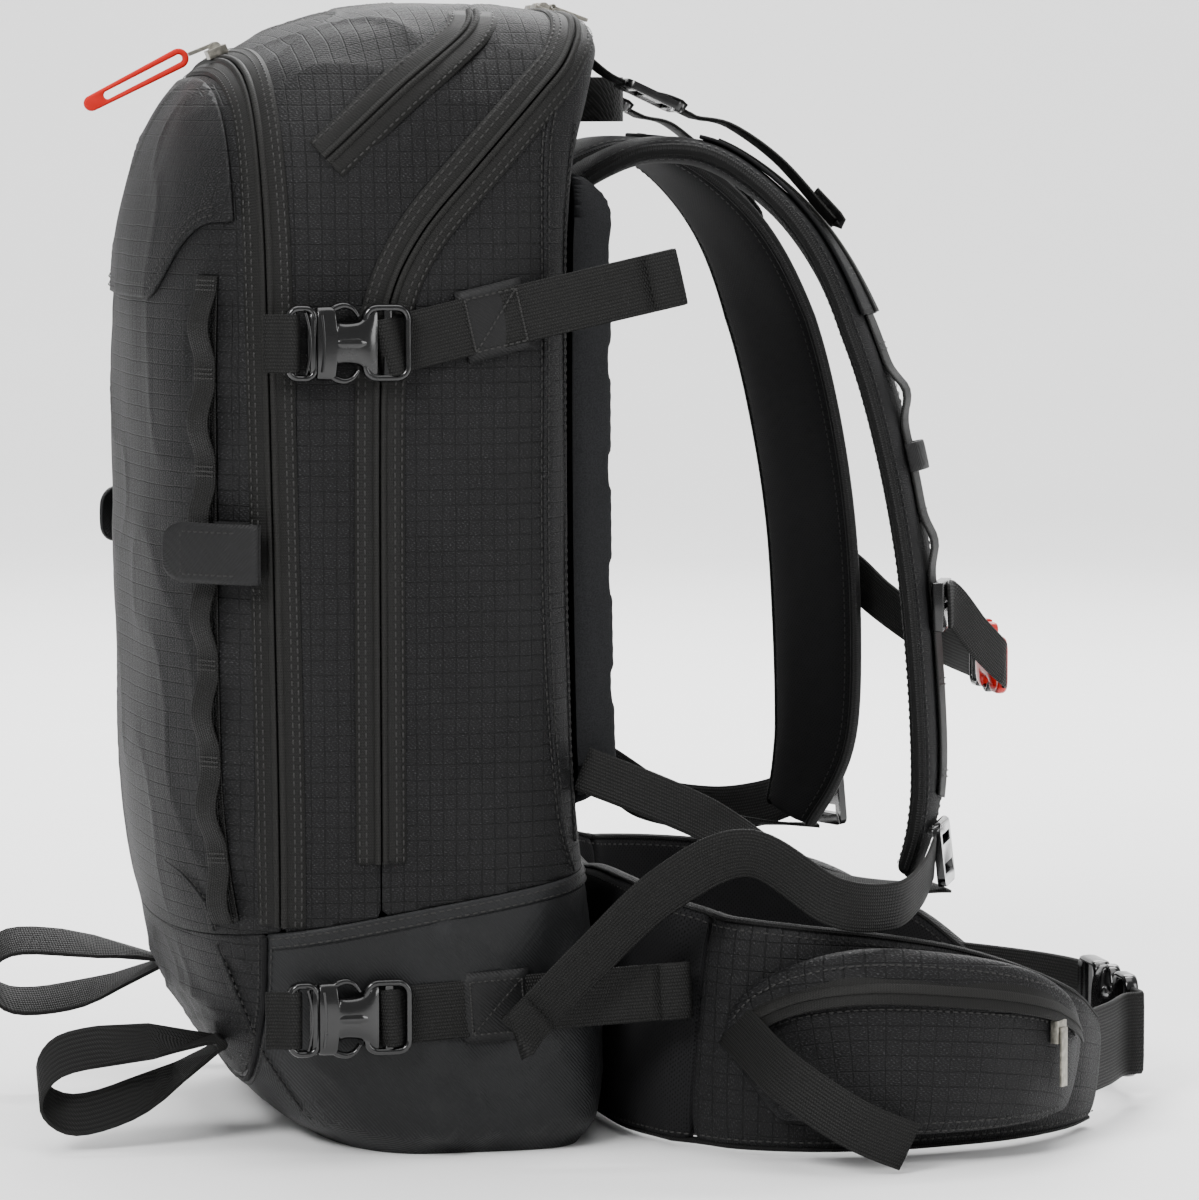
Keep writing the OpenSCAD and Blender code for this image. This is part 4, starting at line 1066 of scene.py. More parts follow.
def crowned(stations, thick, square=2.8, around=30):
    """A moulded body through (u, half width, share of thickness) stations."""
    table = np.array(stations, float)
    u = np.concatenate([np.linspace(a, b, 5)[:-1] for a, b in zip(table[:-1, 0], table[1:, 0])]
                       + [table[-1:, 0]])
    half = smooth_table(table[:, 0], table[:, 1])(u)
    tall = smooth_table(table[:, 0], table[:, 2])(u) * thick / 2
    turn = np.linspace(0, 2 * math.pi, around, endpoint=False)
    e = 2 / square
    c = np.sign(np.cos(turn)) * np.abs(np.cos(turn)) ** e
    k = np.sign(np.sin(turn)) * np.abs(np.sin(turn)) ** e
    rings = np.stack([np.broadcast_to(u[:, None], (len(u), around)), half[:, None] * c[None],
                      tall[:, None] * k[None]], 2)
    return skin_of_plain(rings, np.zeros((len(u), around, 2)))


OUT = (0, 0, 1)


def socket_parts(w, body, frame_len, thick):
    """The socket: a waisted body with a notch each side for the buttons, and a ladder lock."""
    h = w / 2
    end = body + frame_len
    parts = [crowned([(0.2, h * 0.90, 0.80), (0.9, h * 0.95, 0.98), (body * 0.26, h * 0.97, 1),
                      (body * 0.33, h * 0.93, 1), (body * 0.37, h * 0.60, 1), (body * 0.5, h * 0.54, 1),
                      (body * 0.7, h * 0.56, 0.97), (body * 0.88, h * 0.72, 0.86),
                      (body * 1.0, h * 0.90, 0.66), (body * 1.06, h * 0.93, 0.5)], thick),
             sweep(rounded_loop(body * 0.86, end, h - 1.5, 5.0), 3.2, thick * 0.62, OUT, True),
             sweep([(body + frame_len * 0.42, y, 0.6) for y in np.linspace(-h + 2, h - 2, 9)], 4.2,
                   thick * 0.34, OUT)]
    # raised rims round the mouth and down the spine
    parts.append(sweep([(1.6 + 1.6 * (1 - (y / h) ** 2), y, thick * 0.47)
                        for y in np.linspace(-h * 0.74, h * 0.74, 15)], 1.3, 1.0, OUT))
    parts.append(crowned([(body * 0.30, h * 0.16, 0.9), (body * 0.45, h * 0.24, 1.12),
                          (body * 0.72, h * 0.24, 1.10), (body * 0.86, h * 0.14, 0.9)], thick, 2.2, 20))
    return parts


def plug_parts(w, base, thick, thin=0.8):
    """The plug outside the socket: a loop for the webbing, with a shaped end that meets the mouth."""
    h = w / 2
    return [sweep(rounded_loop(-base, -0.6, h - 1.6, 4.0), 3.2, thick * thin, OUT, True),
            crowned([(-3.6, h * 0.80, 0.7), (-2.0, h * 0.92, 0.95), (-0.7, h * 0.95, 0.92),
                     (-0.2, h * 0.93, 0.8)], thick * 0.98),
            sweep([(-base + 1.8, y, 0) for y in np.linspace(-h + 3, h - 3, 7)], 3.6, thick * 0.5, OUT),
            sweep([(-2.6 - 3.4 * (y / h) ** 2, y, thick * 0.42) for y in np.linspace(-h * 0.8, h * 0.8, 15)],
                  1.2, 1.1, OUT)]


def prong_parts(w, body, thick):
    """The two sprung arms with their thumb buttons, and the tongue between them."""
    h = w / 2
    parts = []
    for s in (-1, 1):
        arm = through([(-0.6, s * h * 0.66, 0), (body * 0.2, s * h * 0.80, 0), (body * 0.36, s * h * 0.93, 0),
                       (body * 0.50, s * h * 0.98, 0), (body * 0.64, s * h * 0.90, 0),
                       (body * 0.74, s * h * 0.70, 0)], 0.8)
        parts.append(sweep(arm, np.interp(np.arange(len(arm)), (0, len(arm) * 0.5, len(arm)),
                                          (2.0, 3.2, 1.6)), thick * 0.56, OUT))
    parts.append(sweep([(u, 0, 0) for u in np.linspace(-0.5, body * 0.6, 6)], 4, thick * 0.3, OUT))
    return parts


def buckle_piece(name, body, parts, place, nodes, material=None):
    """Buckle parts put where place() says, as one piece."""
    v, f, t = gather(parts)
    v = np.array([place(*q) for q in v])
    made = recalculated(piece(name, v, f, material or PLASTIC, body, uv=t))
    made.data.set_sharp_from_angle(angle=math.radians(50))
    if nodes:
        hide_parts(*nodes)
    return made


sockets = []
for name, side in SIDES:
    for where, z in (("upper", STRAP_HEIGHTS[0]), ("lower", STRAP_HEIGHTS[1])):
        def at_side(u, w, t, side=side, z=z):
            return (PARTING + u, side * (strap_y(z) + t), z + w)
        v, f, t = gather(socket_parts(33, 25, 15, 9))
        sockets.append((np.array([at_side(*q) for q in v]), f, t))
        arms = prong_parts(33, 25, 9)
        plug = plug_parts(33, 11.5, 9)
        if where == "upper":
            buckle_piece("upper_plug_" + name, "upper_plug_" + name, plug, at_side, ["upper_latch_" + name])
            buckle_piece("upper_arms_" + name, "upper_plug_" + name, arms, at_side,
                         ["upper_prongs_" + name])
        else:
            buckle_piece("lower_plug_" + name, "lower_plug_" + name, plug + arms, at_side,
                         ["lower_latch_" + name])
        far = np.array(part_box(f"{where}_latch_{name}"))[0][0] / MM
        y0 = strap_y(z)
        webbing_piece(f"{where}_stub_{name}", f"{where}_plug_{name}", [
            ([(far + 0.3, side * y0, z), (far + 6, side * (y0 + 0.4), z),
              (PARTING - 12, side * (y0 + 2.9), z),
              (PARTING - 8.5, side * (y0 + 3.2), z), (PARTING - 7.4, side * (y0 + 1.5), z)],
             (0, 0, 1), 25, 1.6)])
made = joined("side_sockets", "root", sockets, PLASTIC)
made.data.set_sharp_from_angle(angle=math.radians(50))
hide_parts("side_buckle_sockets")


# ---- padded pieces
HARNESS_X = rear_of(0.84 * TALL) - 52


def harness(x, y, z):
    return np.array([x + HARNESS_X, y, z])


def padded_form(table, across, square=2.6, around=28, step=5.0):
    """A closed pad through rows of (x, y, z, width, thickness), as rings along it."""
    path = evenly(through(table, 2.0), step)
    along, a, up = frames(path, across)
    turn = np.linspace(0, 2 * math.pi, around, endpoint=False)
    e = 2 / square
    c = np.sign(np.cos(turn)) * np.abs(np.cos(turn)) ** e
    s = np.sign(np.sin(turn)) * np.abs(np.sin(turn)) ** e
    rings = (path[:, None, :3] + a[:, None, :] * (c[None, :] * path[:, 3:4] / 2)[:, :, None]
             + up[:, None, :] * (s[None, :] * path[:, 4:5] / 2)[:, :, None])
    return path, along, a, up, turn, c, s, rings


def skin_of(rings, uv):
    """A closed mesh through rings, with rounded ends."""
    ends = []
    for ring, way in ((rings[0], -1), (rings[-1], 1)):
        mid = ring.mean(0)
        nxt = rings[1].mean(0) if way < 0 else rings[-2].mean(0)
        push = unit(mid - nxt)
        ends.append([mid + (ring - mid) * k + push * b for k, b in ((0.75, 1.2), (0.45, 1.9),
                                                                     (0.1, 2.1))])
    stack = np.concatenate([np.array(ends[0][::-1]), rings, np.array(ends[1])])
    uv = np.concatenate([uv[:1]] * 3 + [uv] + [uv[-1:]] * 3)
    rows, cols = stack.shape[:2]
    faces = grid_faces(rows, cols, close=True)
    faces.append(tuple(range(cols - 1, -1, -1)))
    faces.append(tuple((rows - 1) * cols + k for k in range(cols)))
    return stack.reshape(-1, 3), faces, uv.reshape(-1, 2)


def pad(name, body, nodes, table, across, cloth, facing, square=2.6, crown=0.8,
        inner_side=1):
    """A foam pad: cloth on one face, spacer mesh on the other and a bound edge between them."""
    table = np.array(table, float)
    path, along, a, up, turn, c, s, rings = padded_form(table, across, square)
    run = run_of(path)
    wave = np.array([[noise.noise(Vector((p[0] * 0.03, p[1] * 0.03, p[2] * 0.022))) for p in ring]
                     for ring in rings])
    puff = np.clip(1 - c[None, :] ** 4, 0, 1)
    lift = wave * crown * puff
    rings = rings + up[:, None, :] * (np.sign(s)[None, :] * lift)[:, :, None]
    uv = np.stack(np.broadcast_arrays(c[None, :] * path[:, 3:4] / 2, run[:, None]), 2)
    v, f, t = skin_of(rings, uv)
    cols = len(turn)
    which = []
    for face in f:
        k = [i % cols for i in face]
        inner = sum(s[i] for i in k) * inner_side > 0
        which.append(1 if inner else 0)
    made = recalculated(piece(name, v, f, [cloth, facing], body, uv=t, indices=which))
    modify(made, "SUBSURF", levels=1, render_levels=1)
    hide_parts(*nodes)
    edges = []
    for sign in (-1, 1):
        rim = path[:, :3] + a * (sign * (path[:, 3:4] / 2 - 0.2))
        ring_n = 10
        angle = np.linspace(0, 2 * math.pi, ring_n, endpoint=False)
        tall = np.minimum(path[:, 4] * 0.34, 3.2)
        tube = (rim[:, None, :] + a[:, None, :] * (np.cos(angle) * 1.5 * sign)[None, :, None]
                + up[:, None, :] * (np.sin(angle)[None, :] * tall[:, None])[:, :, None])
        edges.append(skin_of(tube, np.stack(np.broadcast_arrays(
            angle[None, :] * 3, run[:, None]), 2)))
    joined(name + "_binding", body, edges, BINDING)
    sew = []
    for sign in (-1, 1):
        for face in (-1, 1):
            inset = path[:, 3:4] / 2 - 3.6
            high = (1 - np.clip(inset / (path[:, 3:4] / 2), 0, 1) ** square) ** (1 / square)
            line = path[:, :3] + a * sign * inset + up * face * (high * path[:, 4:5] / 2 + 0.25)
            sew.append(dashes(line, up * face))
    sewn(name + "_stitches", body, sew)
    return path, along, a, up


PAD = [(58, -42, 421, 56, 9), (74, -45, 431, 60, 11), (95, -51, 438, 62, 12), (122, -60, 435, 64, 12),
       (149, -70, 416, 66, 12), (170, -78, 389, 66, 12), (187, -85, 350, 66, 12),
       (199, -90, 305, 66, 12), (207, -94, 258, 65, 12), (211, -98, 210, 64, 12),
       (212, -102, 165, 60, 12), (208, -106, 138, 50, 11), (201, -108, 118, 38, 9)]
TURN = 23


def turned(i):
    a = math.radians(TURN * min(1, i / 5))
    return (math.sin(a), math.cos(a), 0)


pads = {}
for name, side in SIDES:
    table = [(*harness(*q[:3]), q[3] - 1.5, q[4]) for q in PAD]
    across = [turned(i) for i in range(len(PAD))]
    if side > 0:
        table = [(q[0], -q[1], *q[2:]) for q in table]
        across = [(q[0], -q[1], 0) for q in across]
    pads[side] = pad("shoulder_padding_" + name, "root", ["shoulder_pad_" + name], table, across,
                     PLAIN, MESH, crown=0.7, inner_side=side)


def on_pad(side, share, out, sideways=0.0):
    """A point over a shoulder pad's outer face, and its frame there."""
    path, along, a, up = pads[side]
    i = min(len(path) - 1, int(share * (len(path) - 1)))
    face = up[i] if np.dot(up[i], [1, 0, 0.6]) > 0 else -up[i]
    return path[i, :3] + face * (path[i, 4] / 2 + out) + a[i] * sideways, along[i], a[i], face


def pad_band(side, lo, hi, out, sideways=0.0, wide=20, thick=1.5, bows=()):
    """Webbing laid along a shoulder pad's outer face; bows lift it into loops."""
    points, acrosses = [], []
    for t in np.arange(lo, hi + 1e-6, 0.012):
        lift = sum(b * math.exp(-((t - c) / w) ** 2) for c, w, b in bows)
        p, _, a, _ = on_pad(side, t, out + lift, sideways)
        points.append(p)
        acrosses.append(a)
    return points, acrosses, wide, thick


for name, side in SIDES:
    runs = [pad_band(side, 0.34, 0.93, 1.0, bows=[(0.50, 0.02, 5), (0.66, 0.02, 3.5)])]
    webbing_piece("pad_webbing_" + name, "root", runs)
    # the zipped sleeve for a drinking hose, on the pad's upper stretch
    sleeve = [pad_band(side, 0.16, 0.42, 1.2, 0, 40, 2.0)]
    webbing_piece("hose_sleeve_" + name, "root", sleeve, material=PLAIN)
    webbing_piece("hose_sleeve_zip_" + name, "root",
                  [pad_band(side, 0.17, 0.41, 2.8, -15 * side, 9, 1.4)], material=COIL)
    # bar tacks across the webbing, and a rubber loop for the hose
    sew = []
    for t in (0.36, 0.45, 0.55, 0.62, 0.71, 0.80, 0.90):
        p, t_dir, a_dir, face = on_pad(side, t, 2.1)
        line = np.array([p - a_dir * 8, p + a_dir * 8])
        for k in (-1.4, 1.4):
            sew.append(dashes(line + t_dir * k, np.array([face, face]), pitch=1.7, long=1.7))
    sewn("pad_bar_tacks_" + name, "root", sew)
    points, acrosses = [], []
    for k in np.linspace(-1, 1, 15):
        p, t_dir, a_dir, face = on_pad(side, 0.56, 1.2 + 5.5 * (1 - k * k) ** 0.5)
        points.append(p + a_dir * k * 15)
        acrosses.append(t_dir)
    webbing_piece("hose_loop_" + name, "root", [(points, acrosses, 13, 1.8)], material=RUBBER_CLOTH)


# ---- the back: foam, lumbar pad, hip belt
def back_padding():
    """The moulded foam: crowned blocks between a middle channel and slanted side channels."""
    low, high, half_w, thick = 148.4, 428.5, 100, 20
    yoke_z, yoke_half = 402.4, 78.4
    ys, zs = np.linspace(-half_w, half_w, 121), np.linspace(low, high, 161)
    y, z = np.meshgrid(ys, zs, indexing="xy")
    r = 24
    qx = np.abs(y) - (half_w - r)
    qz = np.abs(z - (low + high) / 2) - ((high - low) / 2 - r)
    edge_gap = r - np.where((qx > 0) & (qz > 0), np.hypot(qx, qz), np.maximum(qx, qz))
    notch = np.maximum(np.abs(y) - yoke_half, yoke_z - z)
    gap_in = np.minimum(edge_gap, notch)
    dome = smoothly(gap_in, 0, 13) ** 0.5
    middle = smoothly(np.abs(y), 6.5, 13)
    depth = np.ones_like(y)
    for i in range(5):
        zc = low + 34 + i * 48
        for s in (-1, 1):
            slant = (z - zc) - (y - s * 52) * s * math.tan(math.radians(28))
            near = smoothly(np.abs(slant) * math.cos(math.radians(28)), 3.2, 8.5)
            reach = smoothly(y * s, 14, 26) * (1 - smoothly(y * s, 82, 92))
            depth = np.minimum(depth, 1 - (1 - near) * reach)
    block = (0.62 + 0.38 * np.minimum(depth, middle))
    top = 3 + (thick - 3) * dome * block
    bumps = np.sin(y * 0.9) * np.sin(z * 0.9) * 0.12
    back = rear_of(z) + 0.4
    outer = np.stack([np.where(gap_in > 0, back + np.maximum(top + bumps, 0.8), back), y, z], 2)
    inner = np.stack([back, y, z], 2)
    keep = gap_in > -0.8
    rows, cols = y.shape
    n = rows * cols
    faces = []
    for i in range(rows - 1):
        for j in range(cols - 1):
            if keep[i, j] and keep[i, j + 1] and keep[i + 1, j] and keep[i + 1, j + 1]:
                a = i * cols + j
                faces.append((a, a + 1, a + 1 + cols, a + cols))
    seen = {}
    for f in faces:
        for a, b in zip(f, f[1:] + f[:1]):
            seen[(a, b)] = True
    rim = [(b, a, a + n, b + n) for a, b in seen if (b, a) not in seen]
    under = [tuple(k + n for k in reversed(f)) for f in faces]
    verts = np.concatenate([outer.reshape(-1, 3), inner.reshape(-1, 3)])
    used = sorted({k for f in faces + under + rim for k in f})
    place = {o: k for k, o in enumerate(used)}
    faces = [tuple(place[k] for k in f) for f in faces + under + rim]
    made = recalculated(piece("back_padding", verts[used], faces, FOAM, "root",
                              uv=np.stack([verts[used][:, 1], verts[used][:, 2]], 1)))
    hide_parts("back_foam")


back_padding()
BELT_FOOT, BELT_H, BELT_T = 3, 112, 15
BELT_SHIFT = rear_of(0.08 * TALL) - 66
WIDE_BELT = [(103, 132.7, 0.92, 0), (99, 128.6, 0.93, 0), (92.5, 121.5, 0.95, 1), (80, 88, 1, 2),
             (76, 45, 1, 3), (76, 0, 0.96, 3)]
LUMBAR = [(x, -y, h, t) for x, y, h, t in WIDE_BELT] + [(x, y, h, t) for x, y, h, t in WIDE_BELT[-2::-1]]
WING = [(103.7, -133.4, 0.92, 0), (107.5, -137.3, 0.91, 0), (117, -147, 0.90, 0),
        (140, -158, 0.88, 0), (168, -163, 0.85, 0), (202, -161, 0.79, 0), (238, -151, 0.68, -1),
        (268, -131, 0.55, -2), (286, -108, 0.42, -4)]
POCKET = [(118, -160, 48, 4), (132, -170, 70, 14), (160, -183, 82, 26), (195, -186, 80, 26),
          (228, -178, 72, 24), (252, -162, 58, 16), (266, -148, 40, 5)]


def belt_rows(rows, side=-1, rise=0.0):
    out = []
    for x, y, h, t in rows:
        tall = BELT_H * h if h <= 1.2 else h
        deep = BELT_T + t if h <= 1.2 else t
        out.append((x + BELT_SHIFT, -side * y, BELT_FOOT + tall / 2 + rise, tall - 1.0, deep))
    return out


pad("lumbar_padding", "root", ["lumbar_pad"], belt_rows(LUMBAR), (0, 0, 1), MESH, MESH,
    square=3.2, crown=1.2)
for name, side in SIDES:
    body = "belt_half_" + name
    pad("belt_padding_" + name, body, ["belt_wing_" + name], belt_rows(WING, side), (0, 0, 1),
        CLOTH, MESH, square=3.0, crown=0.9, inner_side=side)
    rows = belt_rows(POCKET, side, 10)
    path, along, a, up, turn, c, s, rings = padded_form(rows, (0, 0, 1), 3.0, 36, 4.0)
    wave = np.array([[noise.noise(Vector((p[0] * 0.035, p[1] * 0.04, p[2] * 0.03 + 4)))
                      for p in ring] for ring in rings])
    rings = rings + up[:, None, :] * (np.sign(s)[None, :] * wave * 1.8
                                      * np.clip(1 - c[None, :] ** 6, 0, 1))[:, :, None]
    run = run_of(path)
    uv = np.stack(np.broadcast_arrays(c[None, :] * path[:, 3:4] / 2, run[:, None]), 2)
    v, f, t = skin_of(rings, uv[..., ::-1])
    pouch = recalculated(piece("belt_pouch_" + name, v, f, CLOTH, body, uv=t))
    modify(pouch, "SUBSURF", levels=1, render_levels=1)
    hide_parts("belt_pocket_" + name)
    # the pouch's zip, along its outer face near the top
    outer_way = 1 if np.dot(up[len(up) // 2], [0, side, 0]) > 0 else -1

    def on_pouch(high, lift, lo=0.06, hi=0.94):
        """A line along the pouch's outer face at a share of its height."""
        k = slice(int(lo * len(path)), int(hi * len(path)))
        bulge = (1 - abs(high) ** 3.0) ** (1 / 3.0)
        return (path[k, :3] + a[k] * (path[k, 3:4] / 2 * high)
                + up[k] * outer_way * (path[k, 4:5] / 2 * bulge + lift)), up[k] * outer_way, a[k]
    zip_path, normal, tall_way = on_pouch(0.62, 0.5)
    tilt = unit(tall_way * 0.8 - normal * 0.45)
    webbing_piece("pouch_zip_tape_" + name, body, [(zip_path, tilt, 15, 1.3)], material=TAPE)
    ridge, normal, _ = on_pouch(0.62, 1.2)
    webbing_piece("pouch_zip_coil_" + name, body, [(ridge, tilt, 4.5, 1.4)], material=COIL)
    sew = []
    for high in (0.40, 0.86):
        line, normal, _ = on_pouch(high, 0.6)
        sew.append(dashes(line, normal))
    for high in (-0.94, -0.84):
        line, normal, _ = on_pouch(high, 0.5)
        sew.append(dashes(line, normal))
    sewn("pouch_stitches_" + name, body, sew)
    hard_copy("pocket_slider_" + name, "pocket_zip_slider_" + name, METAL, 0.45)
    end_y, x = (47 if side < 0 else 28), BELT_SHIFT
    front = [(286.6 + x, side * 107.2, 33), (303 + x, side * 86, 33), (317 + x, side * 64, 33),
             (326 + x, side * (end_y + 14), 33), (326 + x, side * end_y, 33)]
    tail = [(110 + x, side * 152.5, 60), (114 + x, side * 172, 54), (124 + x, side * 200, 42),
            (150 + x, side * 211, 24), (176 + x, side * 208, 12)]
    webbing_piece("belt_straps_" + name, body, [(front, (0, 0, 1), 38, 3.0),
                                                (tail, (0.4, side * 0.1, 1), 22, 1.6)],
                  ["belt_webbing_" + name])


def at_belt(u, w, t):
    return (326 + BELT_SHIFT + t, -u, 33 + w)


buckle_piece("belt_buckle_socket", "belt_half_right", socket_parts(48, 30, 15, 11), at_belt, ["belt_socket"])
buckle_piece("belt_buckle_plug", "belt_half_left", plug_parts(48, 26, 11), at_belt, ["belt_latch"])
buckle_piece("belt_buckle_arms", "belt_half_left", prong_parts(48, 30, 11), at_belt, ["belt_prongs"])

# ---- load lifters, adjusting webbing and their locks
for name, side in SIDES:
    hard_copy("lifter_lock_" + name, "lifter_buckle_" + name, PLASTIC, 0.7)
    hard_copy("shoulder_lock_" + name, "strap_buckle_" + name, PLASTIC, 0.7)
lifter_runs, adjust_runs = [], []
tilt = math.radians(25)
away = np.array([-math.cos(tilt), 0, math.sin(tilt)])
for name, side in SIDES:
    at = harness(106, 56 * side, 457)
    lock_end, lock_bar = at + 27.5 * away, at - 2.8 * away
    lifter_runs.append(([(rear_of(0.95 * TALL) + 0.6, 56 * side, 0.952 * TALL),
                         lock_end + np.array([-7, 0, 3.6]), lock_end], (0, 1, 0), 22, 1.6))
    lifter_runs.append(([lock_bar, lock_bar - 3 * away, lock_bar - 7 * away,
                         harness(130, side * 62, 449), harness(150, side * 70, 434),
                         harness(169, side * 76, 412), harness(174, side * 78, 406)], (0, 1, 0), 20, 1.6))
    lifter_runs.append(([harness(174, side * 78, 406), harness(176.5, side * 78.5, 404),
                         harness(175.5, side * 78, 409), harness(166, side * 75, 420)], (0, 1, 0),
                        20, 1.5))
    lifter_runs.append(([lock_bar + away * 1, lock_bar - away * 1 + np.array([0, 0, 3.4]),
                         lock_bar + away * 9 + np.array([0, 0, 3.0]),
                         lock_bar + away * 16 + np.array([0, 0, 1.2])], (0, 1, 0), 22, 1.5))
    root_z = 0.334 * TALL
    taut = [(52.1, side * 112, root_z), harness(100, side * 122, 148), harness(160, side * 122, 117),
            harness(216, side * 112, 110.4)]
    s = -side
    adjust_runs.append((taut, [(0, s * 0.25, 1), (0, s * 0.3, 0.95), (0.2, s * 0.9, 0.3),
                               (0.4, s * 0.92, 0)], 20, 1.6))
    loose = [(208.5, 125.6, 126), (196, 150, 117), (176, 176, 112), (146, 190, 117), (112, 176, 137),
             (78, 162, 120), (44, 157, 88), (14, 156, 58)]
    loose = [harness(x, side * y, z) for x, y, z in loose]
    adjust_runs.append((loose, (0, -s * 0.25, 1), 22, 1.6))
    end = unit(loose[-1] - loose[-2])
    out = np.array([0, side, 0])
    adjust_runs.append(([loose[-1] - end * 14 + out * 1.9, loose[-1] - end * 4 + out * 2.0,
                         loose[-1] + end * 1.2 + out * 1.0, loose[-1] + end * 0.5], (0, -s * 0.25, 1),
                        21.6, 1.4))
webbing_piece("lifter_straps", "root", lifter_runs, ["load_lifter_webbing"])
webbing_piece("adjusting_straps", "root", adjust_runs, ["shoulder_webbing"])

# ---- sternum strap
CHEST = harness(258, -30, 204)
SPIN = math.radians(TURN)
for name, side in SIDES:
    hard_copy("sternum_clip_" + name, "chest_clip_" + name, PLASTIC, 0.5)
    clip = harness(218.5, 100.1 * side, 236)
    face = 2.5 + 0.3 + 0.8 + 0.8
    root = clip + face * np.array([math.cos(SPIN), math.sin(SPIN) * side, 0])
    back = np.array([math.sin(SPIN), math.cos(SPIN) * -side, 0])
    if side < 0:
        end = CHEST - [0, 32.7, 0]
        run = [root - 8 * back, root, root + 8 * back, harness(240, -84, 220),
               end - [2, 8, -2], end]
    else:
        end = CHEST + [0, 14.9, 0]
        run = [root - 8 * back, root, root + 8 * back, harness(238, 74, 222), harness(253, 36, 208),
               end + [0, 8, 0.2], end]
    webbing_piece("sternum_strap_" + name, "chest_strap_" + name, [(run, (0, 0.1, 1), 20, 1.6)],
                  ["sternum_webbing_" + name])


def at_chest(u, w, t):
    return tuple(CHEST + np.array([t, -u, w]))


whistle = [crowned([(2, 3.0, 0.8), (3, 3.9, 1), (14, 3.9, 1), (16, 3.2, 0.8)], 6, 3, 20)]
whistle = [(v + [0, 14.5, 0], f, t) for v, f, t in whistle]
whistle.append(sweep([(u, 18.6, 0) for u in np.linspace(4, 9, 5)], 1.6, 3.2, OUT))
buckle_piece("chest_buckle_socket", "chest_strap_right", socket_parts(26, 20, 12, 8) + whistle, at_chest,
             ["sternum_socket"], RED)
buckle_piece("chest_buckle_plug", "chest_strap_left", plug_parts(26, 14, 7), at_chest, ["sternum_latch"])
buckle_piece("chest_buckle_arms", "chest_strap_left", prong_parts(26, 20, 8), at_chest, ["sternum_prongs"])

# ---- haul loop, axe loops, daisy chains and shaft keepers
AXE_TWIST = {"axe_loop_right": math.radians(50), "axe_loop_left": math.radians(28)}
for node, body in (("haul_handle", "haul_loop"), ("axe_loop_right", "axe_loop_right_body"),
                   ("axe_loop_left", "axe_loop_left_body")):
    made = hard_copy(node, body, WEB, 0.4, 2, node + "_webbing")
    mesh = made.data
    turn = AXE_TWIST.get(node, 0)
    middle = sum(v.co.y for v in mesh.vertices) / len(mesh.vertices)
    root_x = max(v.co.x for v in mesh.vertices)
    for v in mesh.vertices if turn else ():
        off, a = v.co.y - middle, turn * float(smoothly(root_x - v.co.x, 0.006, 0.045))
        v.co.y, v.co.z = middle + off * math.cos(a), v.co.z + off * math.sin(a)
    uv = (mesh.uv_layers.get("cloth") or mesh.uv_layers.new(name="cloth")).data
    for f in mesh.polygons:
        for k in f.loop_indices:
            x, y, z = mesh.vertices[mesh.loops[k].vertex_index].co
            uv[k].uv = (y if node != "haul_handle" else x * 0.7 + z * 0.7,
                        x + z if node != "haul_handle" else y + z * 0.5)
    mesh.uv_layers.active = mesh.uv_layers["cloth"]

chains, tacks = [], []
for name, side in SIDES:
    line = []
    top, low = 385, fold_z(-120) + 8
    for z in np.arange(top, low, -2.0):
        y = side * 0.80 * half_of(z)
        f_, r_, h_ = front_of(z), rear_of(z), half_of(z)
        m_ = f_ + WIDEST * (r_ - f_)
        x = m_ - (m_ - f_) * (1 - 0.8 ** FRONT_ROUND) ** (1 / FRONT_ROUND)
        line.append((x, y, z))
    line = snap(np.array(line))
    n = unit(outward(line))
    down = run_of(line)
    phase = (down % 42) / 42
    bow = 0.9 + 4.6 * np.sin(np.pi * np.clip((phase - 0.12) / 0.76, 0, 1)) ** 1.5
    lifted = line + n * bow[:, None]
    t_dir = unit(np.gradient(line, axis=0))
    across = unit(np.cross(n, t_dir))
    chains.append((lifted, across[:: max(1, len(across) // 60)], 13, 1.5))
    chains.append((line + n * 0.6, across[:: max(1, len(across) // 60)], 13, 1.0))
    for k in range(int(down[-1] // 42) + 1):
        i = int(np.argmin(np.abs(down - k * 42)))
        i = min(max(i, 2), len(line) - 3)
        for shift in (-2.0, 0.0, 2.0):
            c_ = line[i] + t_dir[i] * shift + n[i] * 2.0
            tacks.append(dashes(np.array([c_ - across[i] * 6, c_ + across[i] * 6]),
                                np.array([n[i], n[i]]), pitch=1.5, long=1.5))
webbing_piece("daisy_chains", "lid", chains, ["lid_webbing"])
sewn("daisy_bar_tacks", "lid", tacks)
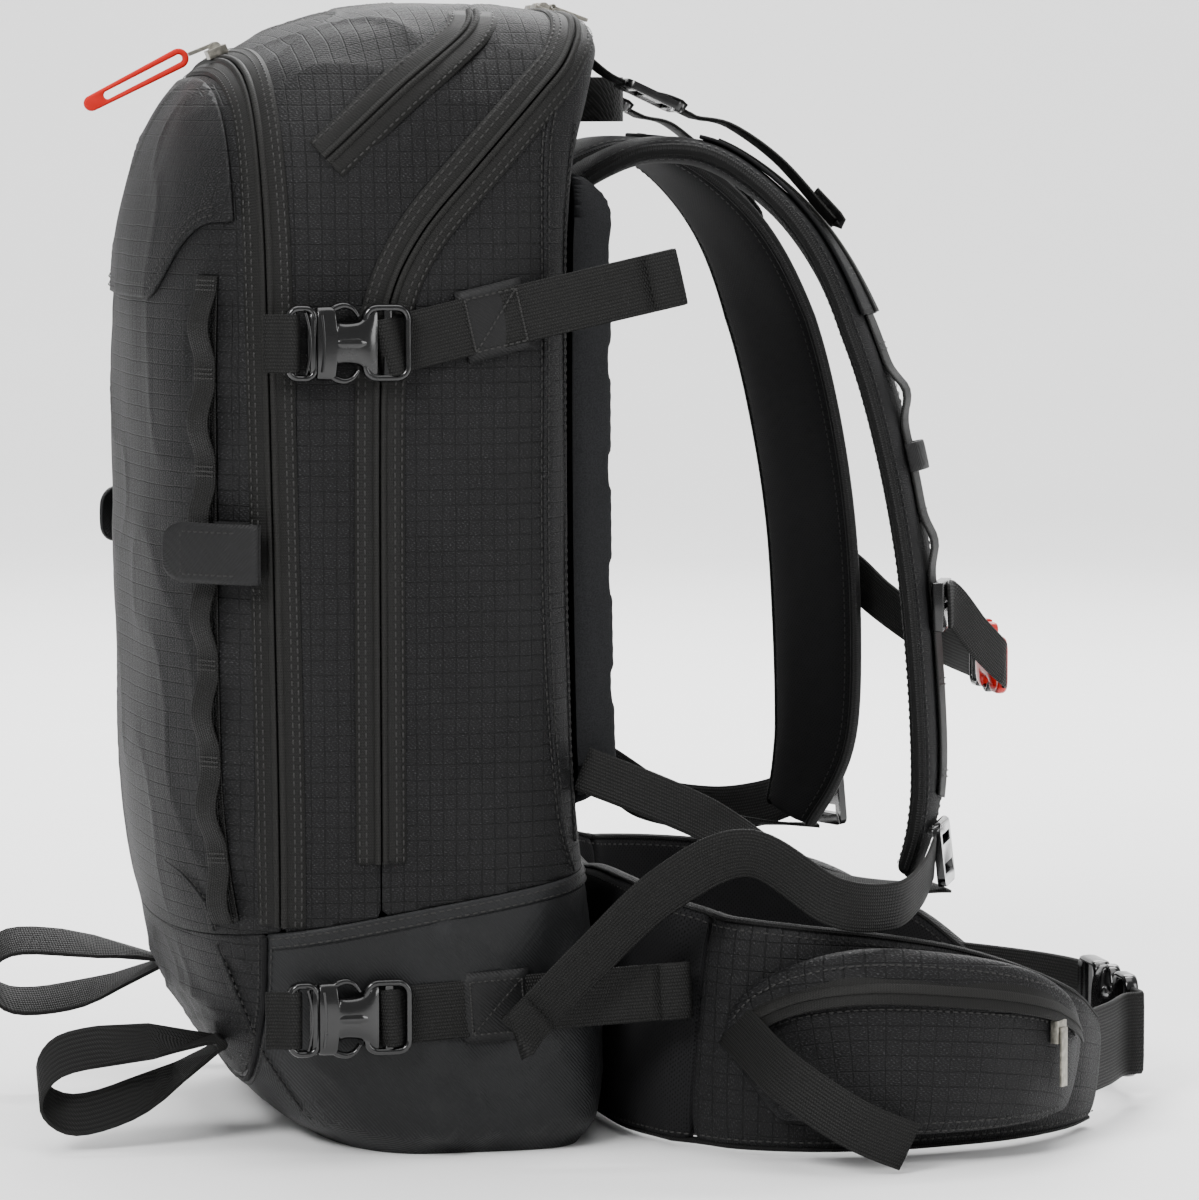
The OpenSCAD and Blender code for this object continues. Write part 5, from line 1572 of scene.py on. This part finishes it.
for name, side in SIDES:
    root = np.array([-105.75, 120.4 * side, 266.6])
    ahead_way = np.array([-0.677, -0.736 * side, 0])
    out = np.array([-0.736, 0.677 * side, 0])
    bend = through([(-22.0, 6.4), (-24.0, 8.2), (-22.4, 9.8), (-14, 11.8), (-4, 13.0), (8, 13.3),
                    (18, 13.2), (25.6, 12.8)], 1.2)
    rows = []
    for a, b in bend:
        half = 13.0
        if a > 13:
            half = 13 - 9.5 * (1 - math.sqrt(max(0, 1 - ((a - 13) / 13.2) ** 2)))
        rows.append([root + ahead_way * a + out * (b - 0.4 * k * k) + np.array([0, 0, half * k])
                     for k in np.linspace(-1, 1, 13)])
    top = np.array(rows)
    uv = np.stack(np.meshgrid(bend[:, 0], np.linspace(-13, 13, 13), indexing="ij"), 2)
    v, f, t = slab(top, top - out * 1.7, uv)
    made = recalculated(piece("keeper_tab_" + name, v, f, RUBBER_CLOTH, "keeper_" + name, uv=t))
    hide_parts("shaft_keeper_" + name)
    sew = []
    for z in (-9.2, 9.2):
        line = np.array([root + ahead_way * a + out * (b + 0.05) + np.array([0, 0, z])
                         for a, b in bend if -15 < a < 15])
        sew.append(dashes(line, np.array([out] * len(line)), 3.0, 2.2))
    line = np.array([root + ahead_way * 15 + out * 13.1 + np.array([0, 0, z]) for z in (-9.2, 0, 9.2)])
    sew.append(dashes(line, np.array([out] * 3), 3.0, 2.2))
    sewn("keeper_stitches_" + name, "keeper_" + name, sew)
    leaf = [(root + ahead_way * a + out * b) for a, b in ((-19, 5.0), (-10, 2.4), (0, 1.2), (12, 0.9))]
    webbing_piece("keeper_base_" + name, "lid", [(leaf, (0, 0, 1), 26, 1.8)], material=RUBBER_CLOTH)


# ---- zip sliders and pulls
hard_copy("front_slider", "front_zip_slider", METAL, 0.5)
hard_copy("front_pull", "red_pull", RED_CORD, 0.9)
for name, side in SIDES:
    hard_copy("main_slider_" + name, "main_zip_slider_" + name, METAL, 0.5)
    hard_copy("main_pull_" + name, "main_zip_pull_" + name, METAL, 0.4)

# ---- goggle-pocket zip on the front section, then what is inside the pack
goggle = through([(-64, 435), (-30, 465), (3.7, 490), (11, 503)], 2.5)
goggle = np.array([(x, -side_y(x, min(z, 501)), min(z, 501.5)) for x, z in goggle if z < 500])
goggle = snap(goggle)
tape = strip("goggle_zip_cloth", goggle, -10.5, 10.5, 1.1, TAPE, "front_section", across=7)
recalculated(tape)
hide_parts("goggle_zip")
for side in (-1, 1):
    coil("goggle_coil_" + ("low" if side < 0 else "high"), goggle, side, "front_section", 1.1)
stitching("goggle_stitches", "front_section", [(goggle, 8.8, 1.4), (goggle, -8.8, 1.4)])
hard_copy("pocket_divider", "front_section", LINING, 0.3)
hard_copy("lining_sleeves", "root", LINING, 0.2)
POLYETHYLENE = moulded("natural polyethylene sheet", (0.62, 0.62, 0.58), 0.45, 0.0, 0.3)
ALLOY = plated("brushed alloy stay", (0.55, 0.56, 0.57), 0.3)
for node, material in (("frame_sheet", POLYETHYLENE), ("frame_stays", ALLOY)):
    made = bpy.data.objects[node]
    made.data.materials.clear()
    made.data.materials.append(material)


# ---- floor, lights and camera
AZIMUTH, ELEVATION, DISTANCE = math.radians(-12), math.radians(5), 2.6
target = Vector((0.084, 0, 0.232))
lens = bpy.data.cameras.new("camera")
lens.lens, lens.sensor_width = 170, 36
camera = bpy.data.objects.new("camera", lens)
backwards = Vector((math.sin(AZIMUTH) * math.cos(ELEVATION), -math.cos(AZIMUTH) * math.cos(ELEVATION),
                    math.sin(ELEVATION)))
camera.location = target + backwards * DISTANCE
camera.rotation_euler = (-backwards).to_track_quat("-Z", "Y").to_euler()
bpy.context.scene.collection.objects.link(camera)
bpy.context.scene.camera = camera


def stage():
    """A pale floor that curves up into a wall far behind the pack."""
    away, wide = -backwards.to_2d().normalized(), 60
    along = Vector((-away.y, away.x))
    profile = [(-60, 0), (-9, 0), (3.2, 0)]
    profile += [(3.2 + 2.4 * math.sin(a), 2.4 * (1 - math.cos(a))) for a in np.radians(range(6, 91, 6))]
    profile.append((5.6, 8))
    mesh = bpy.data.meshes.new("floor")
    bm = bmesh.new()
    rows = [[bm.verts.new((*(away * d + along * w), h)) for w in (-wide, wide)] for d, h in profile]
    for a, b in zip(rows, rows[1:]):
        bm.faces.new((a[0], b[0], b[1], a[1])).smooth = True
    bm.to_mesh(mesh)
    bm.free()
    floor = bpy.data.objects.new("floor", mesh)
    bpy.context.scene.collection.objects.link(floor)
    s = Shade("pale floor")
    grain = s.grain(s.place(), 0.004, 3)
    mesh.materials.append(s.finish(s.blend(grain, (0.88, 0.88, 0.88), (0.92, 0.92, 0.92)), 0.9))


def lamp(name, at, to, size, power):
    light = bpy.data.lights.new(name, "AREA")
    light.shape = "RECTANGLE"
    light.size, light.size_y = size
    light.energy = power
    made = bpy.data.objects.new(name, light)
    made.location = at
    made.rotation_euler = (Vector(to) - Vector(at)).to_track_quat("-Z", "Y").to_euler()
    bpy.context.scene.collection.objects.link(made)


stage()
lamp("key", (-1.7, -2.0, 2.1), (0.05, 0, 0.22), (1.0, 1.0), 105)
lamp("fill", (2.2, -1.9, 1.0), (0.1, 0, 0.2), (0.8, 1.6), 34)
lamp("rim", (0.8, 2.0, 1.9), (0.05, 0, 0.25), (1.6, 1.2), 60)
lamp("backdrop", (0.5, 1.2, 3.6), (0.9, 4.6, 0.6), (3.0, 1.2), 260)
lamp("top", (0.1, -0.3, 2.6), (0.05, 0, 0.2), (2.2, 2.2), 60)
world = bpy.data.worlds.new("studio")
bpy.context.scene.world = world
world.use_nodes = True
world.node_tree.nodes["Background"].inputs["Color"].default_value = (0.97, 0.975, 0.98, 1)
world.node_tree.nodes["Background"].inputs["Strength"].default_value = 0.55
